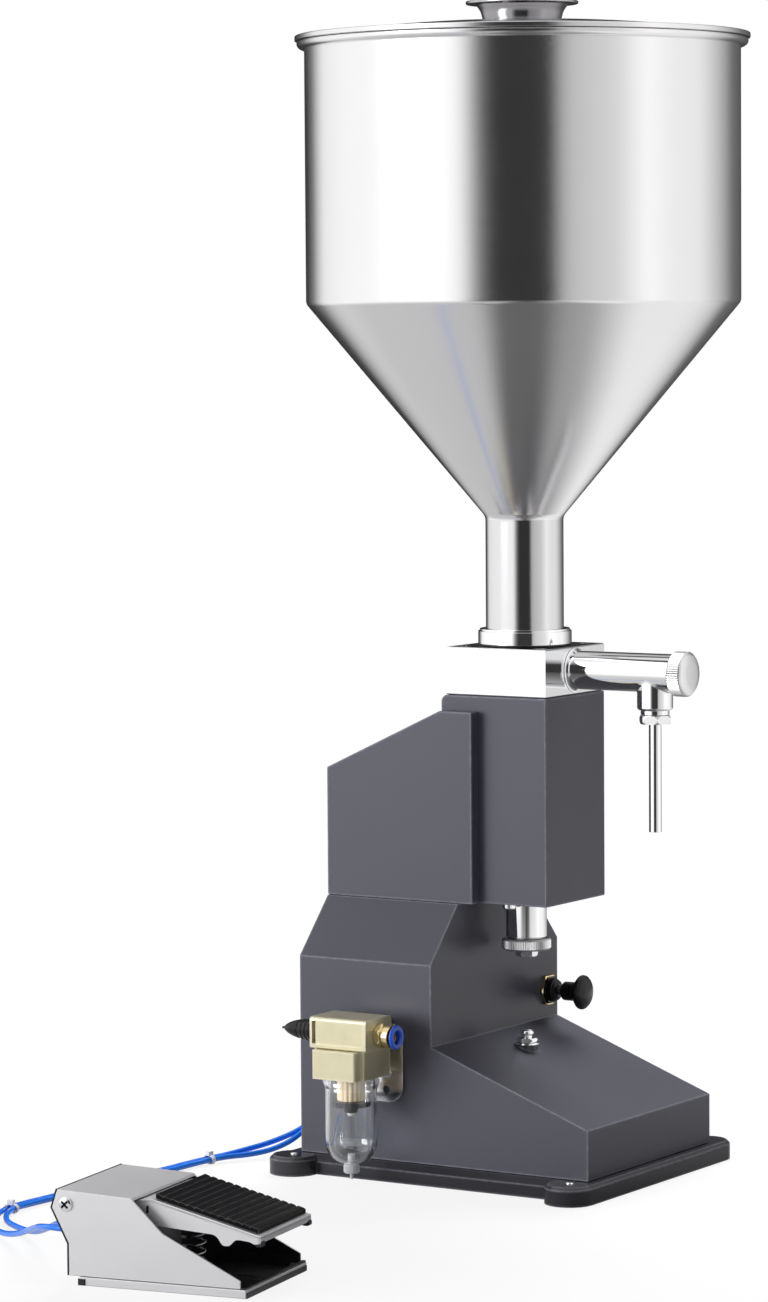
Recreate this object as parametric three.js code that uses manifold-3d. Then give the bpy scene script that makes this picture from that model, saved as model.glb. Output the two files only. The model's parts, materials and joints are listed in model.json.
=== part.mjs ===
// Pneumatic liquid filling machine with a foot pedal, as a standalone three.js model.
// Millimetres, +Z up. The origin is the centre of the base plate's underside, on the table.
// +X points forward, the way the discharge arm reaches. The air filter hangs on the -Y side.
import * as THREE from "three";
import { mergeVertices } from "three/addons/utils/BufferGeometryUtils.js";
import Module from "manifold-3d";

const wasm = await Module();
wasm.setup();

// Shared values
const seatGap = 0.3; // clearance left between pieces that touch
const overrun = 3; // how far a cut passes the face that it opens
const sheet = 1.5; // sheet metal of the housing, cover and box
const largeSteps = 48; // facets round the hopper and lid
const roundSteps = 20; // facets round a turned piece
const smallSteps = 10; // facets round a small turned piece
const cornerSteps = 2; // steps that each arc of an outline is given; it makes two edges of each
const domeSteps = 4; // steps up a dome
const lidDomeSteps = 2;
const curlSteps = 8; // steps in each curl of a spring
const springSides = 5;
const hoseSteps = 50;
const weldTolerance = 1e-4; // vertices closer than this are one vertex

// Base plate
const baseRearX = -122;
const baseFrontX = 130;
const baseHalfWidth = 96;
const baseHeight = 13.5;
const baseEdgeHeight = 9; // height of the upright edge between the lugs
const baseShoulder = 7.5; // width of the slope from that edge up to the top
const baseFrontChamfer = 2.5;
const lugRadius = 17.5;
const lugReach = 2; // lug centre beyond the base's side
const lugOffsetY = baseHalfWidth + lugReach;
const lugOverhang = 8; // how far the rear lugs pass the rear edge
const lugChamfer = 2.5;
const lugScrewRadius = 2.2;
const lugScrewDepth = 8;

// Lower housing, heights measured from its own bottom edge
const housingRearX = -113.2;
const housingFrontX = 121.2;
const housingHalfWidth = 87.9;
const lipHeight = 35;
const towerFrontX = -4.3;
const slopeTopHeight = 82.7;
const foldHeight = 140.1; // above this the sides lean inwards
const towerHeight = 179.3;
const airWindowLength = 60; // window in the top, under the rear cover
const airWindowWidth = 50;
const airWindowEdge = 30; // rear edge of the window to the rear wall

// Stud that the piston stops over
const studBossRadius = 8.2;
const studBossRise = 3.6; // boss top above the slope at the stud's axis
const studRadius = 3.9;
const studHeadRadius = 5;
const studHeadHeight = 4.4;
const studNeckHeight = 2.2;
const studTailLength = 16; // shank below the boss top
const studNutFlats = 13;
const studNutHeight = 3;

// Pump axis and the front box above the housing
const pumpX = 21.5;
const boxRearX = -22.9;
const boxFrontX = 62.2;
const boxHalfWidth = 41.35;
const towerTopReach = 9.45; // side of the housing's top beyond the box
const towerTopHalfWidth = boxHalfWidth + towerTopReach;
const boxHeight = 146;
const boxCornerRadius = 5; // rounded upper rear corner

// Rear cover
const coverFrontX = 7.3;
const coverRearHeight = 91.4;
const coverHeight = 135.1;
const coverSlantX = -19.1; // front end of the slanted top

// Cylinder bracket, a thick plate that carries the box, cylinder and air valve
const bracketThickness = 6;
const bracketRearX = -100;
const airValveLength = 62;
const airValveWidth = 22;
const airValveHeight = 30;
const airValveX = -66;
const airValvePortRadius = 4;
const airValvePortPitch = 18;
const airValvePortDepth = 9;
const airValveCorner = 2.5;

// Pump block
const blockRearX = -19;
const blockHeight = 33.6;
const blockChamfer = 0.8;
const blockScrewInset = 9.5; // screw axis to the block's sides
const blockScrewHeadRadius = 4.6;
const blockScrewHeadDepth = 6;
const blockScrewRadius = 2.8;
const blockScrewDepth = 20;
const chamberRadius = 17;
const chamberDepth = 21.5; // from the underside
const inletSeatRadius = 9;
const inletSeatThickness = 3;
const inletPocketRadius = 14.5;
const crossBoreRadius = 9;

// Inlet poppet, hung in the block's seat
const inletPoppetRadius = 12;
const inletPoppetThickness = 2.6;
const inletPoppetTravel = 4;
const inletStemRadius = 2.5;
const inletBarWidth = 5;
const inletBarThickness = 2;
const inletBarReach = 11.5;

// Pump barrel, piston and rod
const stroke = 40;
const pumpBoreRadius = 20;
const pumpWall = 4;
const pumpBarrelLength = 66;
const pistonHeight = 14;
const pistonClearance = 0.6;
const pistonCrownGap = 1; // piston top to the barrel's end at rest
const sealHeight = 3.4;
const sealDepth = 2.4;
const rodRadius = 6;
const rodSocketDepth = 8;

// Air cylinder
const airBoreRadius = 25;
const airWall = 2.5;
const airPistonHeight = 10;
const airEndClearance = 1;
const airCapReach = 1.5; // cap's edge beyond the barrel
const airCapRadius = airBoreRadius + airWall + airCapReach;
const airCapHeight = 8;
const airPortRadius = 3;

// Guide tube, knurled stop ring and hexagon nut under the box
const guideRadius = 14.5;
const guideDrop = 28;
const guideChamfer = 1;
const ringRadius = 17.5;
const ringHeight = 8;
const ringKnurlDepth = 0.6;
const ringKnurlTeeth = 24;
const ringChamfer = 1.2;
const hexFlats = 14;
const hexHeight = 4.6;
const hexSocketDepth = 3;

// Hopper and its collar
const neckRadius = 27.5;
const neckLength = 90.5;
const hopperRadius = 152.6;
const hopperWall = 1.2;
const coneHeight = 150;
const drumHeight = 185;
const beadHeight = 8;
const beadReach = 5.3; // how far the rolled bead stands out from the wall
const beadSteps = 4;
const collarWall = 5.5;
const collarRadius = neckRadius + collarWall;
const collarHeight = 11.6;
const collarLipHeight = 1.6;
const collarLipStep = 1.2;

// Lid and its pressed handle
const lidOverhang = 1.4; // lid's edge beyond the hopper's bead
const lidRadius = hopperRadius + beadReach + lidOverhang;
const lidSheet = 1.2;
const lidLipDrop = 2.2;
const lidPlugClearance = 1.8; // plug to the inside of the hopper's wall
const lidPlugRadius = hopperRadius - hopperWall - lidPlugClearance;
const lidPlugDrop = 3.4;
const lidCrown = 8.2; // centre of the dome above the lid's flange
const lidFlatRadius = 34; // flat seat for the handle in the middle of the dome
const handleFootRadius = 26.5;
const handleWaistRadius = 32.5;
const handleFlangeRadius = 39.4;
const handleHeight = 15;
const handleFlangeThickness = 2.2;
const handleDishDepth = 9;
const handleDishRadius = 22;

// Discharge arm, its outlet and its knurled end cap
const armRadius = 13.5;
const armBoreRadius = 9;
const armAxisDrop = 16.3; // below the block's top
const armWeldReach = 2.2;
const armEndX = 149;
const outletInset = 23; // outlet's axis to the arm's end
const outletX = armEndX - outletInset;
const outletRadius = 12.5;
const outletLength = 25.8; // arm axis to the outlet's chamfered end
const outletChamfer = 1.4;
const outletNeckRadius = 10;
const outletNeckHeight = 3.1;
const outletBoreRadius = 8;
const outletBoreTop = 11.5; // bore's ceiling below the arm axis
const outletSeatRadius = 5.4;
const capRadius = 15.7;
const capLength = 12.9;
const capPocketDepth = 7;
const capChamfer = 1.6;
const capCrown = 1.2;
const capKnurlDepth = 0.45;
const capKnurlTeeth = 24;

// Discharge poppet and spring
const poppetClearance = 1;
const poppetRadius = outletBoreRadius - poppetClearance;
const poppetHeight = 3;
const dischargeWire = 0.5; // wire radius
const dischargeSpringRadius = 5.2;
const dischargeCurls = 3;

// Nozzle nut and tube
const nozzleNutFlats = 20;
const nozzleNutHeight = 6.2;
const nozzleNutChamfer = 1;
const nozzleSpigotClearance = 0.4;
const nozzleSpigotRadius = outletBoreRadius - nozzleSpigotClearance;
const nozzleSpigotHeight = 3;
const nozzleRadius = 4.4;
const nozzleWall = 0.8;
const nozzleLength = 75.5; // below the nut

// Push-pull hand valve on the tower's front
const valveInset = 13.9; // valve's axis to the housing's side
const valveY = housingHalfWidth - valveInset;
const valveRise = 20.2; // valve's axis above the top of the slope
const valveHeight = slopeTopHeight + valveRise;
const valveBodyLength = 44;
const valveBodyWidth = 22;
const valveBodyHeight = 24;
const valveBodyInset = 4; // panel to the valve's block
const valveBodyCorner = 2.5;
const valveNeckRadius = 8.2;
const valveNeckReach = 10; // neck's front end beyond the panel
const valveNutFlats = 21;
const valveNutHeight = 3.8;
const valveStemRadius = 2.8;
const valveStemDepth = 34; // behind the panel
const knobRest = 12.3; // panel to the back of the knob
const knobCollarRadius = 6.8;
const knobCollarLength = 9.4;
const knobHeadRadius = 12.5;
const knobHeadLength = 13.6;
const knobSocketDepth = 11;
const knobCrownSteps = 5;

// Air filter on the side wall, heights above the housing's bottom edge
const filterX = -51.5;
const filterAxisReach = 30.1; // side wall to the filter's axis
const portHeight = 93.2;
const headLength = 46;
const headDepth = 34;
const headHeight = 22;
const headAbovePort = 12.5;
const headEdgeRadius = 3;
const ringBlockLength = 41;
const ringBlockFront = 23; // filter axis to the lower block's front
const ringBlockBack = 20.5;
const ringBlockHeight = 20.5;
const ringBlockRadius = 5;
const portRadius = 6;
const portDepth = 12;
const bowlSeatRadius = 18.1;
const bowlSeatDepth = 6;
const bowlRadius = 20;
const bowlWaistRadius = 18.2;
const bowlShoulder = 8; // height of the taper under the head
const bowlLength = 61.5;
const bowlWall = 2;
const bowlRoundHeight = 15; // height of the rounded bottom
const bowlRoundSteps = 3;
const drainHoleRadius = 3;
const elementRadius = 9.8;
const elementBoreRadius = 5;
const elementDrop = 20.5; // below the head
const elementRibDepth = 0.5;
const elementRibs = 18;
const baffleRadius = 13.8;
const baffleHeight = 3.6;
const baffleNotches = 12;
const baffleNotchDepth = 1.6;
const baffleNutRadius = 4.6;
const baffleNutHeight = 3.6;
const drainNutRadius = 5.6;
const drainNutHeight = 3.8;
const drainTeeth = 10;
const drainPinRadius = 1.2;
const drainPinLength = 7;
const drainStemLength = 6;

// Filter bracket on the side wall
const bracketPlateLength = 51;
const bracketPlateTop = 98;
const bracketPlateBottom = 42;
const bracketPlateThickness = 2.5;
const bracketPlateRadius = 11;
const bracketArmLength = 30;
const bracketArmHeight = 16;
const bracketHoleRadius = 2.9;
const bracketHoleInset = 13.5; // from the plate's side edges
const bracketLowHole = 8.5; // from its bottom edge
const bracketScrewHole = 21; // from its bottom edge

// Outlet fitting with its push-in collet, and the ribbed plug opposite
const fittingFlats = 15;
const fittingHexLength = 4.8;
const fittingRadius = 7.8;
const fittingLength = 11.2;
const fittingNeckRadius = portRadius - seatGap;
const fittingNeckLength = 9;
const airTubeRadius = 4.1;
const colletFlangeRadius = 8.5;
const colletFlangeLength = 2.4;
const colletSleeveRadius = 5.4;
const colletSleeveLength = 6;
const colletTravel = 1.5;
const plugRadius = 8;
const plugLength = 27;
const plugTipRadius = 1;
const plugTipLength = 6.5;
const plugRibs = 5;
const plugRibDepth = 0.5;
const plugShoulderShare = 0.34; // share of the plug's length before it tapers

// Blue hoses, their fittings on the rear wall, and the ties
const hoseRadius = 2;
const hoseSides = 8;
const rearFittingHeight = 16.2; // above the housing's bottom edge
const rearFittingYs = [-12, -30];
const rearFittingFlats = 11;
const rearFittingHexLength = 4.4;
const rearFittingColletRadius = 4.6;
const rearFittingColletLength = 3;
const rearFittingNeckRadius = 4.3;
const rearFittingNeckLength = 8;
const hoseBoreRadius = 2.3;
const tieWidth = 2.6;
const tieThickness = 1;
const tieHeadSize = 4.2;

// Foot pedal, in its own frame: x forward, y across, z up, centred on its tray
const pedalX = 29.8;
const pedalY = -430.6;
const pedalTurn = 9.3; // degrees about +Z
const trayLength = 115.3;
const pedalWidth = 93;
const trayHeight = 5.5;
const trayFloor = 2;
const trayWall = 1.6;
const trayHoleRadius = 4;
const trayHoleX = 38;
const trayHoleY = 24;
const hoodSheet = 1.6;
const hoodRearX = -72.3;
const hoodRearHeight = 60;
const hoodBackX = -76;
const hoodBackHeight = 48.3;
const hoodWaistX = -64.5;
const hoodWaistHeight = 26.1;
const hoodTopFrontX = -20.9;
const hoodTopFrontHeight = 57.6;
const hoodKneeX = 0.6;
const hoodKneeHeight = 36.8;
const hoodToeX = 53.9;
const hoodToeHeight = 11;
const pivotX = -66.3;
const pivotDrop = 9.1; // pivot below the hood's upper rear corner
const pivotHeight = hoodRearHeight - pivotDrop;
const pivotRadius = 2.5;
const pivotHeadRadius = 4.2;
const pivotHeadLength = 1.8;

// Treadle and its ribbed pad
const treadleSideGap = 6.4; // treadle to the inside of the hood
const treadleWidth = pedalWidth - 2 * (hoodSheet + treadleSideGap);
const treadleSheet = 1.8;
const treadleKneeX = -11;
const treadleKneeDrop = 0.7; // knee below the front edge of the hood's top
const treadleKneeHeight = hoodTopFrontHeight - treadleKneeDrop;
const treadleFrontX = 64.5;
const treadleFrontHeight = 38.2;
const treadleHoodX = -23;
const treadleHoodGap = 1.6; // treadle to the underside of the hood's top
const treadleHoodHeight = hoodTopFrontHeight - hoodSheet - treadleHoodGap;
const treadleRearX = -58;
const treadleRearGap = 4.8;
const treadleRearHeight = hoodRearHeight - hoodSheet - treadleRearGap;
const treadleLipDrop = 4.6;
const flangeRearHeight = 45;
const flangeMidX = -12;
const flangeMidHeight = 40.2;
const flangeLobeRearX = 34.4;
const flangeLobeRearHeight = 37.2;
const flangeLobeX = 40;
const flangeLobeHeight = 29.9;
const flangeLobeFrontX = 47.2;
const flangeLobeFrontHeight = 34.6;
const flangeFrontX = 57;
const flangeFrontHeight = 34.2;
const earRadius = 5.6;
const padMargin = 2.5; // pad's side to the treadle's
const padWidth = treadleWidth - 2 * padMargin;
const padRearX = -8.5;
const padFrontX = 62;
const padThickness = 3.2;
const padRibs = 13;
const padGrooveDepth = 1.3;
const padGrooveShare = 0.42; // share of the rib pitch that is groove

// Pedal spring, valve and fittings
const springX = 0.7;
const springRadius = 7; // to the wire's centre
const springWire = 1; // wire radius
const springCurls = 9;
const springSeatRadius = 5.4;
const springSeatHeight = 6;
const pedalValveRearX = -55.6;
const pedalValveLength = 37.6;
const pedalValveWidth = 44;
const pedalValveHeight = 40;
const pedalValveCorner = 2.5;
const plungerX = -41;
const plungerRadius = 3;
const plungerDepth = 20; // length inside the valve at rest
const plungerTravel = 6;
const pedalPortHeight = 28;
const pedalPortYs = [-15, 1];
const pedalPortDepth = 7;

// The two hoses' routes from the rear wall's fittings, round behind the pedal, to its valve.
// Each route is a list of points chosen by hand. The ends meet the fittings squarely.
const hoseRouteA = [
  [-121.2, -12, 30], [-129, -12, 30], [-137, -15, 28], [-145, -24, 22.5], [-153, -38, 15.5],
  [-163, -54, 10], [-173, -70, 6.5], [-180.4, -88, 4.4], [-184.6, -102, 3.8], [-188, -120, 3.2],
  [-192, -150, 2.4], [-196, -190, 2.4], [-199, -230, 2.4], [-201, -270, 2.4], [-200.8, -300, 3],
  [-197.6, -322, 3.8], [-190.5, -345, 3.4], [-179, -365, 2.6], [-164, -381, 2.8], [-147, -393, 4],
  [-128, -406, 8], [-108, -421, 14.5], [-90, -437, 21], [-75, -450, 25.6], [-61, -457.6, 27.8],
  [-44.5, -458, 28], [-30.5, -455.7, 28],
];
const hoseRouteB = [
  [-121.2, -30, 30], [-129, -30, 29.5], [-136, -32, 26], [-142.6, -38, 19], [-149, -48, 11.5],
  [-157, -60, 6.6], [-166, -73, 4.4], [-176, -89.4, 4], [-180.2, -103.2, 3.8], [-183.5, -121, 3.2],
  [-187.4, -150.5, 2.4], [-191.4, -190.5, 2.4], [-194.4, -230.4, 2.4], [-196.4, -270, 2.4],
  [-196.2, -300, 3], [-193.2, -321, 3.8], [-186, -339, 3.4], [-174, -354, 2.6], [-159, -365, 2.6],
  [-142, -376, 3.6], [-124, -389, 7], [-107, -403, 12.5], [-91, -418, 18.5], [-76, -432, 24],
  [-62, -441.6, 27.4], [-47, -442.2, 28], [-33.1, -439.9, 28],
];
const tiePlaces = [
  { name: "hose_tie_near", a: 8, b: 8 },
  { name: "hose_tie_far", a: 15, b: 15 },
];

// Heights and places worked out from the sizes above
const housingBottom = baseHeight + seatGap;
const towerTop = housingBottom + towerHeight;
const boxBottom = towerTop + seatGap;
const boxTop = boxBottom + boxHeight;
const blockBottom = boxTop + seatGap;
const blockTop = blockBottom + blockHeight;
const armAxis = blockTop - armAxisDrop;
const hopperBottom = blockTop + seatGap;
const coneBottom = hopperBottom + neckLength;
const drumBottom = coneBottom + coneHeight;
const hopperTop = drumBottom + drumHeight;
const lidBottom = hopperTop + seatGap;
const guideBottom = boxBottom - guideDrop;
const ringTop = guideBottom - seatGap;
const hexTop = ringTop - ringHeight - seatGap;
const bracketTop = boxBottom + bracketThickness;
const airCapBottom = bracketTop + seatGap;
const airBarrelBottom = airCapBottom + airCapHeight + seatGap;
const airBarrelLength = stroke + airPistonHeight + 2 * airEndClearance;
const airBarrelTop = airBarrelBottom + airBarrelLength;
const airPistonBottom = airBarrelTop - airEndClearance - airPistonHeight;
const pumpBarrelTop = blockBottom - seatGap;
const pumpBarrelBottom = pumpBarrelTop - pumpBarrelLength;
const pistonTop = pumpBarrelTop - pistonCrownGap;
const pistonBottom = pistonTop - pistonHeight;
const outletEnd = armAxis - outletLength;
const neckEnd = outletEnd - outletNeckHeight;
const nutTop = neckEnd - seatGap;
const filterY = -housingHalfWidth - filterAxisReach;
const portAxis = housingBottom + portHeight;
const headTop = portAxis + headAbovePort;
const headBottom = headTop - headHeight;
const ringBlockBottom = headBottom - ringBlockHeight;
const bowlTop = ringBlockBottom + bowlSeatDepth - seatGap;
const bowlBottom = ringBlockBottom - bowlLength;

// Heights of the sloping front sheet
function slopeHeightAt(x) {
  const fall = (slopeTopHeight - lipHeight) / (housingFrontX - towerFrontX);
  return housingBottom + slopeTopHeight - fall * (x - towerFrontX);
}

// Outlines
function outline(points) {
  return new THREE.Shape(points.map(([x, y]) => new THREE.Vector2(x, y)));
}

function rectangle(x0, y0, x1, y1) {
  return outline([[x0, y0], [x1, y0], [x1, y1], [x0, y1]]);
}

function roundedRectangle(x0, y0, x1, y1, radius) {
  const shape = new THREE.Shape();
  shape.absarc(x1 - radius, y1 - radius, radius, 0, Math.PI / 2);
  shape.absarc(x0 + radius, y1 - radius, radius, Math.PI / 2, Math.PI);
  shape.absarc(x0 + radius, y0 + radius, radius, Math.PI, 1.5 * Math.PI);
  shape.absarc(x1 - radius, y0 + radius, radius, 1.5 * Math.PI, 2 * Math.PI);
  return shape;
}

function hexagon(acrossFlats) {
  const corner = acrossFlats / Math.sqrt(3);
  const angles = [0, 1, 2, 3, 4, 5].map((k) => (k * Math.PI) / 3);
  return outline(angles.map((a) => [corner * Math.cos(a), corner * Math.sin(a)]));
}

// A round outline with straight knurl teeth, or any evenly notched disc
function toothedDisc(radius, depth, teeth) {
  const points = [];
  for (let k = 0; k < 2 * teeth; k += 1) {
    const r = k % 2 ? radius - depth : radius;
    const a = (k * Math.PI) / teeth;
    points.push([r * Math.cos(a), r * Math.sin(a)]);
  }
  return outline(points);
}

// The same outline with every edge moved inwards by a distance
function inset(points, distance) {
  const count = points.length;
  const lines = points.map(([x0, y0], k) => {
    const [x1, y1] = points[(k + 1) % count];
    const length = Math.hypot(x1 - x0, y1 - y0);
    const nx = -(y1 - y0) / length;
    const ny = (x1 - x0) / length;
    return { nx, ny, c: nx * x0 + ny * y0 + distance };
  });
  return points.map((_, k) => {
    const p = lines[(k + count - 1) % count];
    const q = lines[k];
    const det = p.nx * q.ny - p.ny * q.nx;
    return [(p.c * q.ny - q.c * p.ny) / det, (p.nx * q.c - q.nx * p.c) / det];
  });
}

// The upper edge of a dome, from its rim in to the axis, as [radius, place] points
function domeProfile(radius, base, rise, steps) {
  return Array.from({ length: steps + 1 }, (_, k) => {
    const a = (Math.PI / 2) * (k / steps);
    return [k === steps ? 0 : radius * Math.cos(a), base + rise * Math.sin(a)];
  });
}

// Solids: an outline pushed along an axis, or a profile turned about one.
// Along x the outline lies in (y, z), along y in (x, z), and along z in (x, y).
const axisBasis = {
  x: new THREE.Matrix4().makeBasis(
    new THREE.Vector3(0, 1, 0), new THREE.Vector3(0, 0, 1), new THREE.Vector3(1, 0, 0)),
  y: new THREE.Matrix4().makeBasis(
    new THREE.Vector3(1, 0, 0), new THREE.Vector3(0, 0, 1), new THREE.Vector3(0, -1, 0)),
  z: new THREE.Matrix4(),
};

function extrude(axis, shape, from, to, curveSegments = cornerSteps) {
  const start = axis === "y" ? -to : from;
  const options = { depth: to - from, bevelEnabled: false, curveSegments };
  const geometry = new THREE.ExtrudeGeometry(shape, options);
  return geometry.translate(0, 0, start).applyMatrix4(axisBasis[axis]);
}

// A profile of [radius, place along the axis] points. It closes on itself or on the axis.
function turned(axis, profile, steps = roundSteps) {
  const open = profile[0][0] > 0 || profile[profile.length - 1][0] > 0;
  const loop = open ? [...profile, profile[0]] : profile;
  const area = loop.reduce((sum, [r, s], k) => {
    const [r1, s1] = loop[(k + 1) % loop.length];
    return sum + r * s1 - r1 * s;
  }, 0);
  const ordered = area < 0 ? [...loop].reverse() : loop;
  const geometry = new THREE.LatheGeometry(ordered.map(([r, s]) => new THREE.Vector2(r, s)), steps);
  geometry.rotateX(Math.PI / 2);
  if (axis === "x") geometry.rotateY(Math.PI / 2);
  if (axis === "y") geometry.rotateX(-Math.PI / 2);
  return geometry;
}

// A turned form whose rim carries straight knurl teeth: every other facet line is drawn in
function knurled(axis, profile, rimRadius, depth, teeth) {
  const geometry = turned("z", profile, 2 * teeth);
  const places = geometry.attributes.position;
  for (let k = 0; k < places.count; k += 1) {
    const [x, y] = [places.getX(k), places.getY(k)];
    const radius = Math.hypot(x, y);
    const line = Math.round((Math.atan2(y, x) * teeth) / Math.PI);
    const share = radius < rimRadius || line % 2 === 0 ? 1 : (radius - depth) / radius;
    places.setXY(k, x * share, y * share);
  }
  return axis === "x" ? geometry.rotateY(Math.PI / 2) : geometry;
}

function rod(axis, radius, from, to, steps = roundSteps) {
  return turned(axis, [[0, from], [radius, from], [radius, to], [0, to]], steps);
}

function tube(axis, inner, outer, from, to, steps = roundSteps) {
  return turned(axis, [[inner, from], [outer, from], [outer, to], [inner, to]], steps);
}

// A round wire through a list of points, joined ring by ring
function wire(points, radius, sides) {
  const places = points.map((p) => new THREE.Vector3(...p));
  const position = [];
  const index = [];
  const last = places.length - 1;
  let normal = null;
  places.forEach((place, k) => {
    const before = places[Math.max(k - 1, 0)];
    const after = places[Math.min(k + 1, last)];
    const along = after.clone().sub(before).normalize();
    normal ??= new THREE.Vector3(0, 1, 0).cross(along).normalize();
    normal.addScaledVector(along, -normal.dot(along)).normalize();
    const side = along.clone().cross(normal);
    for (let j = 0; j < sides; j += 1) {
      const a = (2 * Math.PI * j) / sides;
      const rim = place.clone().addScaledVector(normal, radius * Math.cos(a));
      rim.addScaledVector(side, radius * Math.sin(a));
      position.push(...rim);
    }
  });
  for (let k = 0; k < last; k += 1) {
    for (let j = 0; j < sides; j += 1) {
      const next = (j + 1) % sides;
      const [a, b] = [k * sides + j, k * sides + next];
      index.push(a, b, b + sides, a, b + sides, a + sides);
    }
  }
  for (let j = 1; j < sides - 1; j += 1) {
    index.push(0, j + 1, j);
    index.push(last * sides, last * sides + j, last * sides + j + 1);
  }
  const geometry = new THREE.BufferGeometry();
  geometry.setAttribute("position", new THREE.Float32BufferAttribute(position, 3));
  geometry.setIndex(index);
  return geometry;
}

// Joining and cutting
function manifoldOf(geometry) {
  if (!geometry.isBufferGeometry) return geometry;
  const bare = geometry.clone();
  bare.deleteAttribute("normal");
  bare.deleteAttribute("uv");
  const merged = mergeVertices(bare, weldTolerance);
  const corners = merged.index.array;
  const triVerts = [];
  for (let k = 0; k < corners.length; k += 3) {
    const [a, b, c] = [corners[k], corners[k + 1], corners[k + 2]];
    if (a !== b && b !== c && c !== a) triVerts.push(a, b, c);
  }
  return new wasm.Manifold(new wasm.Mesh({
    numProp: 3,
    vertProperties: merged.attributes.position.array,
    triVerts: new Uint32Array(triVerts),
  }));
}

function join(first, ...others) {
  return others.reduce((sum, other) => sum.add(manifoldOf(other)), manifoldOf(first));
}

function cut(first, ...tools) {
  return tools.reduce((left, tool) => left.subtract(manifoldOf(tool)), manifoldOf(first));
}

function geometryOf(shape) {
  if (shape.isBufferGeometry) return shape;
  const mesh = shape.getMesh();
  const geometry = new THREE.BufferGeometry();
  geometry.setAttribute("position", new THREE.BufferAttribute(mesh.vertProperties, 3));
  geometry.setIndex(new THREE.BufferAttribute(mesh.triVerts, 1));
  geometry.computeVertexNormals();
  return geometry;
}

// A finished piece: one named mesh with its own material, at its place
function piece(name, shape, [color, roughness, metalness], place = [0, 0, 0]) {
  const material = new THREE.MeshStandardMaterial({ color, roughness, metalness, flatShading: true });
  const mesh = new THREE.Mesh(geometryOf(shape), material);
  mesh.name = name;
  mesh.position.set(...place);
  return mesh;
}

// Finishes: colour, roughness and metalness
const powderCoat = [0x55565d, 0.5, 0.2];
const baseCoat = [0x46474d, 0.45, 0.2];
const satinSteel = [0xc4c3c2, 0.32, 1];
const mirrorSteel = [0xe4e4e6, 0.08, 1];
const plainSteel = [0xa9a9ab, 0.35, 1];
const aluminium = [0xb9babc, 0.42, 1];
const brass = [0xc9a45a, 0.3, 1];
const champagne = [0xcfc394, 0.38, 0.6];
const clearPlastic = [0xdfe4ea, 0.08, 0];
const blackPlastic = [0x18181a, 0.35, 0];
const blackRubber = [0x1b1b1c, 0.75, 0];
const bluePlastic = [0x1d5be0, 0.35, 0];
const hoseBlue = [0x0b6be6, 0.3, 0];
const whitePlastic = [0xe9e9ea, 0.45, 0];
const creamElement = [0xf3cf9c, 0.7, 0];
const pedalSteel = [0xbab8bb, 0.4, 0.7];

// Base plate: a cast plate with a lug at each corner
function basePlate() {
  const top = baseHeight;
  const section = [
    [-baseHalfWidth, 0], [baseHalfWidth, 0], [baseHalfWidth, baseEdgeHeight],
    [baseHalfWidth - baseShoulder, top], [-baseHalfWidth + baseShoulder, top],
    [-baseHalfWidth, baseEdgeHeight],
  ];
  const plate = extrude("x", outline(section), baseRearX, baseFrontX - baseFrontChamfer);
  const edge = [
    [baseFrontX - baseFrontChamfer - overrun, 0], [baseFrontX, 0], [baseFrontX, top - baseFrontChamfer],
    [baseFrontX - baseFrontChamfer, top], [baseFrontX - baseFrontChamfer - overrun, top],
  ];
  const frontEdge = extrude("y", outline(edge), -lugOffsetY, lugOffsetY);
  let body = join(plate, frontEdge);
  const lug = turned("z", [
    [0, 0], [lugRadius, 0], [lugRadius, top - lugChamfer], [lugRadius - lugChamfer, top], [0, top],
  ]);
  const screwHole = rod("z", lugScrewRadius, top - lugScrewDepth, top + overrun, smallSteps);
  const lugXs = [baseRearX - lugOverhang + lugRadius, baseFrontX - lugRadius];
  for (const x of lugXs) {
    for (const y of [-lugOffsetY, lugOffsetY]) {
      body = join(body, lug.clone().translate(x, y, 0));
      body = cut(body, screwHole.clone().translate(x, y, 0));
    }
  }
  return piece("base_plate", body, baseCoat);
}

// Lower housing: a folded sheet shell, open below. The tower's sides lean in above the fold.
function housingForm(distance) {
  const low = distance > 0 ? housingBottom - overrun - distance : housingBottom;
  const section = [
    [-housingHalfWidth, low], [housingHalfWidth, low], [housingHalfWidth, housingBottom + foldHeight],
    [towerTopHalfWidth, towerTop], [-towerTopHalfWidth, towerTop],
    [-housingHalfWidth, housingBottom + foldHeight],
  ];
  const tower = extrude(
    "x", outline(inset(section, distance)), housingRearX + distance, towerFrontX - distance);
  const side = [
    [housingRearX, low], [housingFrontX, low], [housingFrontX, housingBottom + lipHeight],
    [towerFrontX, housingBottom + slopeTopHeight], [housingRearX, housingBottom + slopeTopHeight],
  ];
  const halfWidth = housingHalfWidth - distance;
  const desk = extrude("y", outline(inset(side, distance)), -halfWidth, halfWidth);
  return join(tower, desk);
}

function studBoss() {
  const top = slopeHeightAt(pumpX) + studBossRise;
  const underside = [
    [pumpX - 2 * studBossRadius, slopeHeightAt(pumpX - 2 * studBossRadius) - sheet],
    [pumpX + 2 * studBossRadius, slopeHeightAt(pumpX + 2 * studBossRadius) - sheet],
    [pumpX + 2 * studBossRadius, housingBottom], [pumpX - 2 * studBossRadius, housingBottom],
  ];
  const blank = rod("z", studBossRadius, housingBottom + overrun, top, smallSteps).translate(pumpX, 0, 0);
  return cut(blank, extrude("y", outline(underside), -2 * studBossRadius, 2 * studBossRadius));
}

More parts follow.
